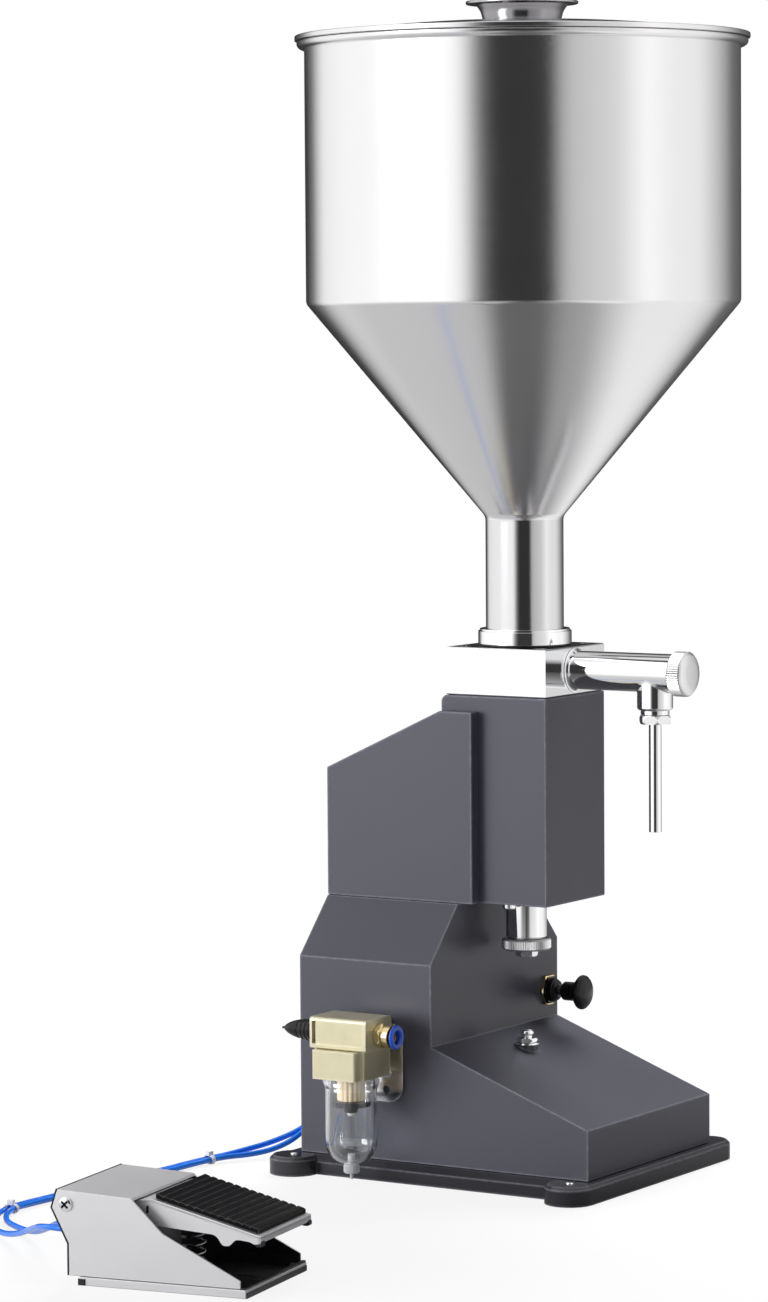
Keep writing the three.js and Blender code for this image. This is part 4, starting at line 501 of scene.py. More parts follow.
tree = materials["pedal_sheet"].node_tree
shader = next(n for n in tree.nodes if n.type == "BSDF_PRINCIPLED")
inner = use_group(tree, inside, {
    "Across": pedal_across, "Middle": pedal_origin.dot(pedal_across) * MM})["Mask"]
outer_hue = shader.inputs["Base Color"].links[0].from_socket
hue = blend(tree, inner, outer_hue, (0.010, 0.010, 0.011, 1))
tree.links.new(hue, shader.inputs["Base Color"])
print("effect:", inside.name, "on", materials["pedal_sheet"].name)

# %% [markdown]
# ## Paint, plastic and rubber
# The housing and box are powder coated. The powder melts into a skin with a very fine orange
# peel, so its bump is small and round rather than in lines, and its gloss is satin. The base is
# painted darker and glossier. The light lines along their edges are partly wear and partly a
# painted highlight. The pedal's mat reflects less than the other rubber, so that its ribs stay
# black and only their crowns shine, partly by a painted highlight.

# %% Painted and moulded finishes
# The edge colours of the powder coat and base coat are partly wear, partly a painted highlight
# along folds and shoulders.
add_finish("powder_coat", (0.088, 0.089, 0.111), 0.0, (0.28, 0.38), even, 750, 0.05,
           cloud=7.0, tint=0.05, edge=0.8, edge_colour=(0.34, 0.34, 0.39), speck=0.02,
           **{"Specular IOR Level": 0.36})
add_finish("base_coat", (0.030, 0.030, 0.036), 0.0, (0.14, 0.24), even, 750, 0.06,
           cloud=9.0, tint=0.06, edge=0.8, edge_colour=(0.26, 0.26, 0.30), speck=0.02,
           **{"Specular IOR Level": 0.7})
add_finish("black_plastic", (0.008, 0.008, 0.009), 0.0, (0.14, 0.26), even, 300, 0.02,
           cloud=40.0, tint=0.15, **{"Specular IOR Level": 0.3})
add_finish("black_rubber", (0.006, 0.006, 0.007), 0.0, (0.34, 0.50), even, 500, 0.08,
           cloud=40.0, tint=0.2)
# Painted highlight: a light edge colour draws a thin line along each rib's crown.
add_finish("pad_rubber", (0.002, 0.002, 0.0025), 0.0, (0.28, 0.40), even, 500, 0.05,
           cloud=40.0, tint=0.2, edge=1.0, edge_colour=(0.30, 0.30, 0.31), edge_wide=0.0004,
           **{"Specular IOR Level": 0.12})
add_finish("blue_plastic", (0.022, 0.125, 0.80), 0.0, (0.20, 0.30), even, 300, 0.02, cloud=60.0)
add_finish("hose_blue", (0.0, 0.19, 0.88), 0.0, (0.16, 0.26), even, 200, 0.02,
           cloud=30.0, tint=0.08, **{"Coat Weight": 0.4, "Coat Roughness": 0.12})
add_finish("milky_plastic", (0.86, 0.87, 0.89), 0.0, (0.16, 0.26), even, 300, 0.02,
           cloud=80.0, tint=0.04, **{"Transmission Weight": 0.20, "IOR": 1.45})
add_finish("white_plastic", (0.78, 0.78, 0.79), 0.0, (0.34, 0.46), even, 300, 0.03, cloud=60.0)
add_finish("filter_element", (1.0, 0.78, 0.52), 0.0, (0.60, 0.80), even, 900, 0.25,
           cloud=90.0, tint=0.08)
print("solid finishes:", len(materials))

# %% [markdown]
# ## Clear plastic
# The filter's bowl is clear moulded polycarbonate. It is glass to the renderer: light passes
# with a bend of 1.58, nearly colourless. A hard coat with a higher index makes its highlights
# crisp. Bent light takes long to find a lamp, so the rays that look for lamps go straight
# through a plain pane instead, and the element inside is lit as it should be.

# %% Clear finish
tree = new_finish("clear_plastic")
shader = add_node(tree, "ShaderNodeBsdfPrincipled", {
    "Base Color": (0.96, 0.97, 0.98, 1), "Metallic": 0.0, "IOR": 1.58,
    "Transmission Weight": 1.0, "Coat Weight": 1.0, "Coat Roughness": 0.03, "Coat IOR": 1.7})
pane = add_node(tree, "ShaderNodeBsdfTransparent", {"Color": (0.96, 0.96, 0.97, 1)})
path = add_node(tree, "ShaderNodeLightPath").outputs
either = add_node(tree, "ShaderNodeMixShader", {
    0: path["Is Shadow Ray"], 1: shader.outputs[0], 2: pane.outputs[0]})
add_node(tree, "ShaderNodeOutputMaterial", {"Surface": either.outputs[0]})
cloud = use_group(tree, smudge, {"Cloud Scale": 70.0})["Cloud"]
roughen(tree, shader, cloud, (0.0, 0.02), cloud, 0.03)
print("finishes:", len(materials))

# %% [markdown]
# # The hoses
# Two 4 mm polyurethane tubes join the machine to its pedal. They leave the rear wall level,
# sag to the table, run behind the pedal and turn in to its valve. Their solids have a route
# through chosen points, and the same points are repeated here in millimetres.

# %% Where the two hoses run
hose_points_a = [
    (-121.2, -12, 30), (-129, -12, 30), (-137, -15, 28), (-145, -24, 22.5), (-153, -38, 15.5),
    (-163, -54, 10), (-173, -70, 6.5), (-180.4, -88, 4.4), (-184.6, -102, 3.8), (-188, -120, 3.2),
    (-192, -150, 2.4), (-196, -190, 2.4), (-199, -230, 2.4), (-201, -270, 2.4), (-200.8, -300, 3),
    (-197.6, -322, 3.8), (-190.5, -345, 3.4), (-179, -365, 2.6), (-164, -381, 2.8),
    (-147, -393, 4), (-128, -406, 8), (-108, -421, 14.5), (-90, -437, 21), (-75, -450, 25.6),
    (-61, -457.6, 27.8), (-44.5, -458, 28), (-30.5, -455.7, 28),
]
hose_points_b = [
    (-121.2, -30, 30), (-129, -30, 29.5), (-136, -32, 26), (-142.6, -38, 19), (-149, -48, 11.5),
    (-157, -60, 6.6), (-166, -73, 4.4), (-176, -89.4, 4), (-180.2, -103.2, 3.8),
    (-183.5, -121, 3.2), (-187.4, -150.5, 2.4), (-191.4, -190.5, 2.4), (-194.4, -230.4, 2.4),
    (-196.4, -270, 2.4), (-196.2, -300, 3), (-193.2, -321, 3.8), (-186, -339, 3.4),
    (-174, -354, 2.6), (-159, -365, 2.6), (-142, -376, 3.6), (-124, -389, 7), (-107, -403, 12.5),
    (-91, -418, 18.5), (-76, -432, 24), (-62, -441.6, 27.4), (-47, -442.2, 28),
    (-33.1, -439.9, 28),
]
print("points on the hoses:", len(hose_points_a), "and", len(hose_points_b))


# %% [markdown]
# A hose bends evenly between its points. The route is a Catmull-Rom spline, which passes through
# every point. Its steps follow the square root of the distances, so that it can't form a loop
# where points lie close, and one point is added beyond each end to steer it there.

# %% Helper that smooths a route
def between(p, q, t, t_p, t_q):
    return p * ((t_q - t) / (t_q - t_p)) + q * ((t - t_p) / (t_q - t_p))


def smooth_route(points, steps=6):
    rows = [Vector(p) for p in points]
    rows = [rows[0] * 2 - rows[1], *rows, rows[-1] * 2 - rows[-2]]
    knots = [0.0]
    for a, b in zip(rows, rows[1:]):
        knots.append(knots[-1] + math.sqrt((b - a).length))
    route = []
    for k in range(1, len(rows) - 2):
        p0, p1, p2, p3 = rows[k - 1:k + 3]
        t0, t1, t2, t3 = knots[k - 1:k + 3]
        for j in range(steps):
            t = t1 + (t2 - t1) * j / steps
            a1 = between(p0, p1, t, t0, t1)
            a2 = between(p1, p2, t, t1, t2)
            a3 = between(p2, p3, t, t2, t3)
            b1 = between(a1, a2, t, t0, t2)
            b2 = between(a2, a3, t, t1, t3)
            route.append(between(b1, b2, t, t1, t2))
    route.append(rows[-2])
    return route


# %% [markdown]
# The hose itself is a curve with a round section, attached to the machine's root, and it hides
# the hose's solid. Two small white ties keep the pair together.

# %% Lay the two hoses
hose_radius = 2


def lay_hose(name, solid, points):
    route = [p * MM for p in smooth_route(points)]
    curve = bpy.data.curves.new(name, "CURVE")
    curve.dimensions = "3D"
    curve.bevel_depth = hose_radius * MM
    curve.bevel_resolution = 6
    curve.use_fill_caps = True
    spline = curve.splines.new("POLY")
    spline.points.add(len(route) - 1)
    for spot, place in zip(spline.points, route):
        spot.co = (*place, 1)
    curve.materials.append(materials["hose_blue"])
    hose = bpy.data.objects.new(name, curve)
    bpy.context.collection.objects.link(hose)
    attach(hose, "root")
    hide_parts(solid)


lay_hose("blue_hose_a", "hose_a", hose_points_a)
lay_hose("blue_hose_b", "hose_b", hose_points_b)

# %% [markdown]
# # The hopper
# The hopper is 1.2 mm stainless sheet: a straight neck, a cone and a drum, welded and rubbed
# smooth, with a rolled bead round the rim. One outline holds both its faces, so the wall has a
# real thickness and the rim can be seen when the lid is lifted.

# %% Sizes of the hopper, and the hopper
pump_x = 21.5
pump_centre = (pump_x, 0, 0)
neck_low, cone_low, drum_low, rim_high = 373.6, 464.1, 614.1, 799.1
neck_radius, drum_radius, sheet = 27.5, 152.6, 1.2
bead_high, bead_reach = 8.0, 5.3


def bead_points(steps=14):
    middle = rim_high - bead_high / 2
    made = []
    for k in range(steps + 1):
        a = math.pi * (k / steps - 0.5)
        made.append((drum_radius + bead_reach * math.cos(a),
                     middle + bead_high / 2 * math.sin(a), 0))
    return made


hopper_outline = rounded([
    (neck_radius - sheet, neck_low, 0.2), (neck_radius, neck_low, 0.2),
    (neck_radius, cone_low, 3.0), (drum_radius, drum_low, 2.2),
    (drum_radius, rim_high - bead_high - 1.2, 0.8), *bead_points(),
    (drum_radius - sheet, rim_high, 0.5), (drum_radius - sheet, drum_low + sheet / 2, 2.2),
    (neck_radius - sheet, cone_low + sheet / 2, 3.0)], steps=5)
hopper = turned("hopper_shell", hopper_outline, "satin_steel", centre=pump_centre, sides=192,
                stands_for=["hopper"])

# %% [markdown]
# The neck of the hopper is polished further than the cone and drum, so it gets a second finish.
# Each face takes it if it lies on the straight neck.

# %% Polish the neck
hopper.data.materials.append(materials["drawn_steel"])
neck_faces = [f for f in hopper.data.polygons if f.center.z < (cone_low - 1.5) * MM]
for face in neck_faces:
    face.material_index = 1
print("faces on the neck:", len(neck_faces))

# %% [markdown]
# ## Collar
# The neck stands in a polished clamp collar with a fine lip on top. A black gasket line shows
# under it in the groove.

# %% Collar
collar_radius, collar_high, gasket_high = 33.0, 11.6, 1.2
collar_top, collar_bore = neck_low + collar_high, neck_radius + 0.3
gasket_top = neck_low + gasket_high
turned("clamp_collar", rounded([
    (collar_bore, gasket_top), (collar_radius, gasket_top), (collar_radius, collar_top - 1.6),
    (collar_radius - 1.2, collar_top - 1.4), (collar_radius - 1.2, collar_top),
    (neck_radius + 1.6, collar_top), (collar_bore, collar_top - 1.0)], 0.2, 2),
    "polished_steel", centre=pump_centre, sides=144, stands_for=["hopper_collar"])
turned("collar_gasket", rounded([
    (collar_bore, neck_low), (collar_radius - 0.7, neck_low), (collar_radius - 0.7, gasket_top),
    (collar_bore, gasket_top)], 0.2, 2), "black_rubber", centre=pump_centre, sides=144)

# %% [markdown]
# ## Lid
# The lid is pressed from one sheet: a low dome, a step that drops inside the drum, and a flat
# edge with a turned-down lip that rests on the bead. Its handle is a polished cup that
# widens upwards, so that fingers can reach under its flange.

# %% Lid and handle
lid_low, lid_radius, plug_radius, crown, flat_radius = 799.4, 159.3, 149.6, 8.2, 34.0
lid_top = lid_low + sheet
lip_low, plug_low = lid_low - 2.2, lid_low - 3.4


def dome(face, rim, steps=16):
    return [(rim + (flat_radius - rim) * k / steps,
             face + crown * math.sin(math.pi / 2 * k / steps), 0) for k in range(steps + 1)]


lid_outline = rounded([
    (0, lid_top + crown, 0), *reversed(dome(lid_top, plug_radius - sheet)),
    (lid_radius, lid_top, 0.9), (lid_radius, lip_low), (lid_radius - sheet, lip_low),
    (lid_radius - sheet, lid_low), (plug_radius, lid_low), (plug_radius, plug_low, 0.3),
    (plug_radius - sheet, plug_low, 0.3), *dome(lid_low, plug_radius - sheet),
    (0, lid_low + crown, 0)], steps=4)
turned("lid_pressing", lid_outline, "satin_steel", centre=pump_centre, sides=192, body="lid",
       stands_for=["lid"])

foot = lid_top + crown + 0.3
handle_top, flange_radius = foot + 15.0, 39.4
flange_low, cup_floor = handle_top - 2.2, handle_top - 9
# The cup's darker steel colour is a painted reflection of the dark it mirrors.
turned("lid_cup", rounded([
    (0, foot, 0), (26.5, foot, 0.8), (27.6, foot + 2.5, 2.0), (29.0, foot + 8, 2.0),
    (32.5, flange_low, 1.2), (flange_radius, flange_low, 0.9), (flange_radius, handle_top, 0.9),
    (30.3, handle_top, 2.0), (22.0, cup_floor, 3.0), (0, cup_floor, 0)], steps=5),
    "spun_steel", centre=pump_centre, sides=144, body="lid", stands_for=["lid_handle"],
    slot="polished_steel")
print("rim at", rim_high, "mm, handle's top at", round(handle_top, 1), "mm")

# %% [markdown]
# # The discharge arm
# The arm is a polished tube welded to the block, with an outlet welded under it near its end.
# The two tubes are almost the same size, so the joint rises in a saddle. The saddle's line is
# known from the two radii, and a narrow strip along it makes the blended weld.

# %% Arm and outlet
arm_z, arm_radius, arm_root, arm_end = 357.0, 13.5, 62.5, 149.0
outlet_x, outlet_radius, outlet_low, outlet_neck = 126.0, 12.5, 331.2, 328.1
outlet_centre = (outlet_x, 0, 0)
root_weld = [(arm_radius + 2.2 * (1 - math.sin(math.pi * k / 20)),
              arm_root + 4.5 * (1 - math.cos(math.pi * k / 20)), 0) for k in range(11)]
arm_tube = turned_mesh(rounded([
    (0, arm_root, 0), *root_weld, (arm_radius, arm_end, 0.6), (0, arm_end, 0)]),
    "x", (0, 0, arm_z), 96)
outlet_tube = turned_mesh(rounded([
    (5.4, 342.0, 0.1), (8.0, 342.0, 0.1), (8.0, outlet_neck, 0.2), (10.0, outlet_neck, 0.3),
    (10.0, outlet_low, 0.3), (outlet_radius - 1.4, outlet_low, 0.3),
    (outlet_radius, outlet_low + 1.4, 0.5), (outlet_radius, arm_z - 4, 0),
    (5.4, arm_z - 4, 0)]), "z", outlet_centre, 96)


def arm_drop(offset):
    return -math.sqrt(max(0.0, arm_radius ** 2 - offset ** 2))


def saddle_weld(reach=0.95, sides=96, steps=5):
    points, faces = [], []
    wide = outlet_radius + reach
    for k in range(sides):
        a = 2 * math.pi * k / sides
        c, s = math.cos(a), math.sin(a)
        drop = arm_drop(outlet_radius * s)
        low = Vector((outlet_radius * c, outlet_radius * s, drop - 2 * reach))
        mid = Vector((outlet_radius * c, outlet_radius * s, drop))
        high = Vector((wide * c, wide * s, arm_drop(wide * s)))
        for j in range(steps + 1):
            p = bent(low, mid, high, j / steps)
            points.append((p.x + outlet_x, p.y, p.z + arm_z))
    row = steps + 1
    for k in range(sides):
        n = (k + 1) % sides
        faces += [[k * row + j, n * row + j, n * row + j + 1, k * row + j + 1]
                  for j in range(steps)]
    return points, faces


add_piece("arm_weldment", *joined(arm_tube, outlet_tube, saddle_weld()), "polished_steel",
          stands_for=["discharge_arm"])


# %% [markdown]
# ## Knurled pieces
# The arm's end cap and the stop ring are turned by hand, so their rims have straight knurls.
# A knurl is a row of small ridges. Here each second facet of the rim is drawn in by half a
# millimetre, and a chamfer above and below runs through the ridges as on a lathe.

# %% End cap
def knurl(rim, depth):
    def ridges(r, h, k):
        return r - depth if r > rim and k % 2 else r
    return ridges


cap_low, cap_high, cap_radius, cap_floor = 142.3, 155.2, 15.7, 149.3
turned("knurled_cap", rounded([
    (0, cap_floor, 0), (arm_radius + 0.3, cap_floor, 0), (arm_radius + 0.3, cap_low, 0.2),
    (cap_radius - 1.0, cap_low, 0), (cap_radius, cap_low + 1.0, 0),
    (cap_radius, cap_high - 3.4, 0), (cap_radius - 1.0, cap_high - 2.4, 0.3),
    (cap_radius - 2.2, cap_high - 1.3, 1.0), (9.5, cap_high - 0.4, 3.0), (0, cap_high, 0)]),
    "turned_steel", axis="x", centre=(0, 0, arm_z), sides=120,
    shape=knurl(cap_radius - 0.5, 0.6), body="end_cap", stands_for=["arm_end_cap"], crease=24,
    slot="satin_steel")

# %% [markdown]
# ## Nozzle
# A hexagon nut with a thin collar screws into the outlet and carries the nozzle, a drawn tube
# with a real bore.

# %% Nozzle nut and tube
nut_low, nut_high, nozzle_low, nozzle_high, nozzle_radius = 321.6, 327.8, 246.1, 330.8, 4.4
nozzle_fit, nozzle_bore = nozzle_radius + 0.3, nozzle_radius - 0.8
hexagon("nozzle_hexagon", 20, nut_low, nut_high - 0.4, nozzle_radius + 0.1, "turned_steel",
        centre=outlet_centre, turn=math.radians(20), stands_for=["nozzle_nut"],
        slot="satin_steel")
turned("nozzle_spigot", rounded([
    (nozzle_fit, nut_high - 0.5), (9.4, nut_high - 0.5), (9.4, nut_high), (7.4, nut_high),
    (7.4, nozzle_high), (nozzle_fit, nozzle_high)], 0.2),
    "turned_steel", centre=outlet_centre, slot="satin_steel")
turned("nozzle_pipe", rounded([
    (nozzle_bore, nozzle_low), (nozzle_radius, nozzle_low), (nozzle_radius, nozzle_high),
    (nozzle_bore, nozzle_high)], 0.25),
    "polished_steel", centre=outlet_centre, sides=64, stands_for=["nozzle_tube"])

# %% [markdown]
# # The stop under the box
# The piston's rod comes down through a polished guide tube. A knurled ring and a hexagon nut on
# its end meet a stud on the sloping front, which sets the dose.

# %% Guide tube, stop ring, nut and stud
rod_fit, stud_fit = 6.3, 4.2
turned("guide_sleeve", rounded([
    (rod_fit, 165.4, 0.3), (13.5, 165.4, 0.3), (14.5, 166.4, 0.5), (14.5, 199.4, 0.2),
    (rod_fit, 199.4, 0.2)]), "polished_steel", centre=pump_centre, stands_for=["guide_tube"])
turned("knurled_ring", rounded([
    (rod_fit, 157.1, 0.2), (16.3, 157.1, 0), (17.5, 158.3, 0), (17.5, 163.9, 0),
    (16.3, 165.1, 0), (rod_fit, 165.1, 0.2)]), "turned_steel", centre=pump_centre, sides=132,
    shape=knurl(16.9, 0.6), body="stop_ring", stands_for=["stop_ring"], crease=24,
    slot="satin_steel")
hexagon("ring_hexagon", 14, 152.2, 156.8, 4.5, "polished_steel", centre=pump_centre,
        body="stop_ring", stands_for=["stop_hex"])
turned("stop_bolt", rounded([
    (0, 74.6, 0), (3.5, 74.6, 0.2), (3.9, 75.2, 0.2), (3.9, 95.4, 0.2), (5, 96.2, 0.5),
    (5, 98.2, 1.0), (3.6, 99.7, 1.2), (0, 100.2, 0)]),
    "polished_steel", centre=pump_centre, sides=64, stands_for=["stop_stud"])
hexagon("stop_hexagon", 13, 90.6, 93.6, 4.1, "polished_steel", centre=pump_centre,
        stands_for=["stop_nut"], slot="plain_steel")
turned("stop_washers", rounded([
    (stud_fit, 90.4), (8.7, 90.4), (8.9, 89.2), (7.4, 88.9), (7.4, 87.6), (6.6, 87.4),
    (6.6, 81.6), (stud_fit, 81.6)], 0.2), "polished_steel", centre=pump_centre)

# %% [markdown]
# # Springs and the piston's seal
# Two compression springs are modelled on this machine: a small one under the discharge poppet
# and a large one under the treadle. A spring is a wire wound on a helix. Its first and last
# turns lie close, so that it stands square, and the turns between are open.

# %% Helper that winds a spring, the discharge spring and the seal
def coil_mesh(radius, wire, low, high, open_turns, centre=(0, 0), turn_steps=32, sides=12):
    bottom, top = low + wire, high - wire
    closed_rise = 2.15 * wire
    turns = open_turns + 2
    pitch = (top - bottom - 2 * closed_rise) / open_turns
    points, faces = [], []
    rings = turns * turn_steps
    for k in range(rings + 1):
        t = k / turn_steps
        opened = min(max(t - 1, 0), open_turns)
        last = max(t - open_turns - 1, 0)
        height = bottom + closed_rise * min(t, 1) + pitch * opened + closed_rise * last
        rise = pitch if 1 <= t <= open_turns + 1 else closed_rise
        slope = rise / (2 * math.pi * radius)
        a = 2 * math.pi * t
        outward = Vector((math.cos(a), math.sin(a), 0))
        forward = Vector((-math.sin(a), math.cos(a), slope)).normalized()
        upward = outward.cross(forward)
        middle = Vector((*centre, height)) + outward * radius
        for j in range(sides):
            b = 2 * math.pi * j / sides
            spot = middle + outward * (wire * math.cos(b)) + upward * (wire * math.sin(b))
            points.append(tuple(spot))
    for k in range(rings):
        row = k * sides
        faces += [[row + j, row + (j + 1) % sides, row + sides + (j + 1) % sides, row + sides + j]
                  for j in range(sides)]
    faces += [list(range(sides))[::-1], [rings * sides + j for j in range(sides)]]
    return points, faces


spring_foot_z = 331.1
poppet_spring = add_piece(
    "poppet_spring", *coil_mesh(5.2, 0.5, spring_foot_z, 341.9, 3, (outlet_x, 0)), "plain_steel",
    stands_for=["discharge_spring"], crease=60)
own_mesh(poppet_spring)
turned("lipped_seal", rounded([
    (17.3, 330.0), (18.8, 329.7), (19.7, 330.3), (19.2, 331.0), (19.2, 331.8), (19.7, 332.5),
    (18.8, 333.1), (17.3, 332.8)], 0.25),
    "black_rubber", centre=pump_centre, body="piston", stands_for=["piston_seal"])

# %% [markdown]
# # The hand valve
# A push-pull air valve sits in the panel behind: a brass hexagon on a black body, a bright stem
# and a moulded black knob with a crowned face.

# %% Hand valve
valve_place = (-4.3, 74.0, 116.7)
on_valve = {"axis": "x", "centre": valve_place}
corner_first = math.radians(30)
hexagon("valve_hexagon", 21, 0.3, 2.6, 8.5, "brass", turn=corner_first,
        stands_for=["valve_nut"], **on_valve)
hexagon("valve_washer", 19.0, 2.7, 4.1, 8.5, "black_plastic", turn=corner_first, **on_valve)
valve_block = pushed_mesh(rounded(box_outline(-11, -12, 11, 12), 2.5), "x", -49.8, -5.8,
                          valve_place)
valve_neck = turned_mesh(rounded([
    (3.1, -6.4), (8.2, -6.4), (8.2, 6.9, 0.5), (7.3, 7.4), (7.3, 8.4, 0.5), (5.0, 10.0),
    (3.1, 10.0)], 0.25), "x", valve_place, 72)
add_piece("valve_neck", *joined(valve_block, valve_neck), "black_plastic",
          stands_for=["valve_body"])
turned("valve_pull", rounded([
    (0, 23.3, 0), (3.1, 23.3, 0), (3.1, 12.3, 0.2), (4.2, 12.3, 0.4), (6.8, 14.6, 0.6),
    (6.8, 23.0, 1.2), (9.2, 25.4, 1.8), (12.2, 27.9, 1.0), (12.5, 28.8, 0.5), (12.3, 30.2, 0.8),
    (10.2, 32.4, 2.5), (6.0, 33.9, 3.0), (0, 34.6, 0)], steps=6),
    "black_plastic", body="hand_valve", stands_for=["valve_knob"], **on_valve)

# %% [markdown]
# # Screws
# Small screws say how a machine goes together. A pan head is a fine polar grid whose height
# dips inside a cross. The recess is blackened a little wider than it is, because it lies in
# shadow on the real screw.

# %% Helpers for pan-head screws
head_rings, head_sides = 18, 72
recess_depth = 0.3


def in_cross(x, y, radius, arm=0.50, half=0.11):
    return min(abs(x), abs(y)) < radius * half and max(abs(x), abs(y)) < radius * arm


def pan_head_mesh(place, out, radius, rise):
    out = Vector(out).normalized()
    aside = out.orthogonal().normalized()
    above = out.cross(aside)
    points, faces = [Vector(place) + out * (rise - radius * recess_depth)], []
    for j in range(1, head_rings + 1):
        r = radius * j / head_rings
        for k in range(head_sides):
            a = 2 * math.pi * k / head_sides
            x, y = r * math.cos(a), r * math.sin(a)
            lift = rise * math.sqrt(max(0.0, 1 - 0.9 * (r / radius) ** 3))
            if in_cross(x, y, radius):
                lift -= radius * recess_depth
            points.append(Vector(place) + aside * x + above * y + out * lift)
    last = len(points) - head_sides
    points += [p - out * (rise * 0.32 + 0.6) for p in points[last:]]
    faces += [[0, 1 + k, 1 + (k + 1) % head_sides] for k in range(head_sides)]
    for j in range(head_rings):
        low = 1 + j * head_sides
        high = low + head_sides
        faces += [[low + k, low + (k + 1) % head_sides, high + (k + 1) % head_sides, high + k]
                  for k in range(head_sides)]
    faces.append([len(points) - head_sides + k for k in range(head_sides)])
    return [tuple(p) for p in points], faces


def blacken_recesses(piece, heads, skipped=0):
    piece.data.materials.append(materials["black_plastic"])
    for head in range(heads):
        start = skipped + head * (head_sides * (head_rings + 1) + 1)
        for face in range(head_sides * head_rings):
            r = (face // head_sides + 0.5) / head_rings
            a = 2 * math.pi * (face % head_sides + 0.5) / head_sides
            if in_cross(r * math.cos(a), r * math.sin(a), 1.0, 0.66, 0.16):
                piece.data.polygons[start + face].material_index = 1


def add_pan_heads(name, places, out, radius, rise):
    heads = [pan_head_mesh(place, out, radius, rise) for place in places]
    piece = add_piece(name, *joined(*heads), "polished_steel", crease=40)
    blacken_recesses(piece, len(heads))


# %% [markdown]
# The base is screwed down at its four lugs, and a pair of screws holds the filter's bracket.
# The block's four socket heads sit in counterbores. A socket head is a turned piece whose
# innermost ring is a hexagon. Two plain heads show under the box beside the guide tube.

# %% Place the screws
add_pan_heads("base_screws", [(x, y, 13.6) for x in (-112.5, 112.5) for y in (-98, 98)],
              (0, 0, 1), 2.7, 1.2)
screw_sides, socket_flats, socket_floor, socket_top, socket_low = 48, 4.4, 368.4, 371.6, 367.4


def socket_reach(r, h, k):
    return flat_reach(socket_flats, k, screw_sides) if r < socket_flats * 0.51 else r


def socket_head_mesh(place):
    outline = rounded([
        (0, socket_floor, 0), (socket_flats / 2, socket_floor, 0),
        (socket_flats / 2, socket_top, 0), (4.3, socket_top, 0.6), (4.3, socket_low, 0.3),
        (0, socket_low, 0)])
    return turned_mesh(outline, "z", place, screw_sides, socket_reach)


block_screws = [socket_head_mesh((x, y, 0)) for x in (-9.5, 52.7) for y in (-31.85, 31.85)]
add_piece("block_screws", *joined(*block_screws), "plain_steel", crease=40)
guide_bolt = rounded([
    (0, 187.9, 0), (3.9, 187.9, 0.8), (4.75, 188.8, 0.6), (4.75, 193.2, 0.2), (0, 193.2, 0)])
guide_bolts = [turned_mesh(guide_bolt, "z", (pump_x, y, 0), screw_sides) for y in (-24, 24)]
add_piece("guide_bolts", *joined(*guide_bolts), "polished_steel", crease=40)
add_pan_heads("bracket_screws", [(x, -90.8, 76.8) for x in (-63.5, -39.5)],
              (0, -1, 0), 3.9, 2.0)

# %% [markdown]
# # The air filter
# The filter's head is a die casting. Its upper block has a framed front, and its lower block is
# stepped at the corners. The recesses are carved: a Boolean modifier takes the shape of a tool
# mesh away, its result becomes the piece's own mesh, and the tool is thrown away.

# %% Helper that carves one mesh out of a piece
def carve(piece, *cutters):
    for points, faces in cutters:
        tool = bpy.data.objects.new("cutter", clean_mesh("cutter", points, faces))
        bpy.context.collection.objects.link(tool)
        cut = piece.modifiers.new("cut", "BOOLEAN")
        cut.operation = "DIFFERENCE"
        cut.solver = "EXACT"
        cut.object = tool
        bpy.context.view_layer.update()
        view = bpy.context.evaluated_depsgraph_get()
        carved = bpy.data.meshes.new_from_object(piece.evaluated_get(view))
        piece.modifiers.clear()
        piece.data = carved
        bpy.data.objects.remove(tool)
    piece.data.set_sharp_from_angle(angle=math.radians(sharp_from))
    print("carved", piece.name, "with", len(cutters), "tools")


# %% [markdown]
# The head has three cutters: a shallow panel in its front, a groove beside it, and from
# underneath the seat of the bowl's neck.

# %% Filter head
filter_x, filter_y, port_z = -51.5, -118.0, 107.0
filter_axis, filter_middle = (filter_x, filter_y, 0), (0, filter_y, 0)
head_outline = rounded([(-17, 97.5, 1.2), (17, 97.5, 1.2), (17, 119.5, 3), (-17, 119.5, 3)],
                       steps=5)
head_body = pushed_mesh(head_outline, "x", filter_x - 23, filter_x + 23, filter_middle)
ring_plan = rounded([
    (-17.6, -23, 1.6), (17.6, -23, 1.6), (17.6, -15.4, 0.3), (20.5, -15.4, 1.0), (20.5, 20.5, 3),
    (-20.5, 20.5, 3), (-20.5, -15.4, 1.0), (-17.6, -15.4, 0.3)], steps=4)
ring_body = pushed_mesh(ring_plan, "z", 77.0, 97.2, filter_axis)
head = add_piece("filter_casting", *head_body, "champagne", stands_for=["filter_head"])
front_panel = pushed_mesh(rounded(box_outline(-19.6, 100.4, 20.2, 117.0), 1.2),
                          "y", -18.4, -16.1, filter_axis)
side_groove = pushed_mesh(box_outline(-21.2, 100.7, -18.7, 116.6), "y", -18.4, -10.5,
                          filter_axis)
carve(head, front_panel, side_groove)
bevel(head, 0.5)
ring = add_piece("filter_ring_block", *ring_body, "champagne")
seat = turned_mesh([(0, 76.0), (18.1, 76.0), (18.1, 83.0), (0, 83.0)], "z", filter_axis, 96)
carve(ring, seat)
bevel(ring, 0.6)

# %% [markdown]
# ## Bowl, element and drain
# The bowl is clear, with a wall 2 mm thick, a shoulder under the head and a round bottom with a
# drain cock. Both faces of the wall are modelled, because glass without an inside looks like a
# solid lens. The sintered element is ribbed, and a black notched baffle closes it below.

# %% Bowl
bowl_radius, bowl_wall, bowl_inside_low = 18.2, 2, 17.5
bowl_inside, seat_top = bowl_radius - bowl_wall, 82.7


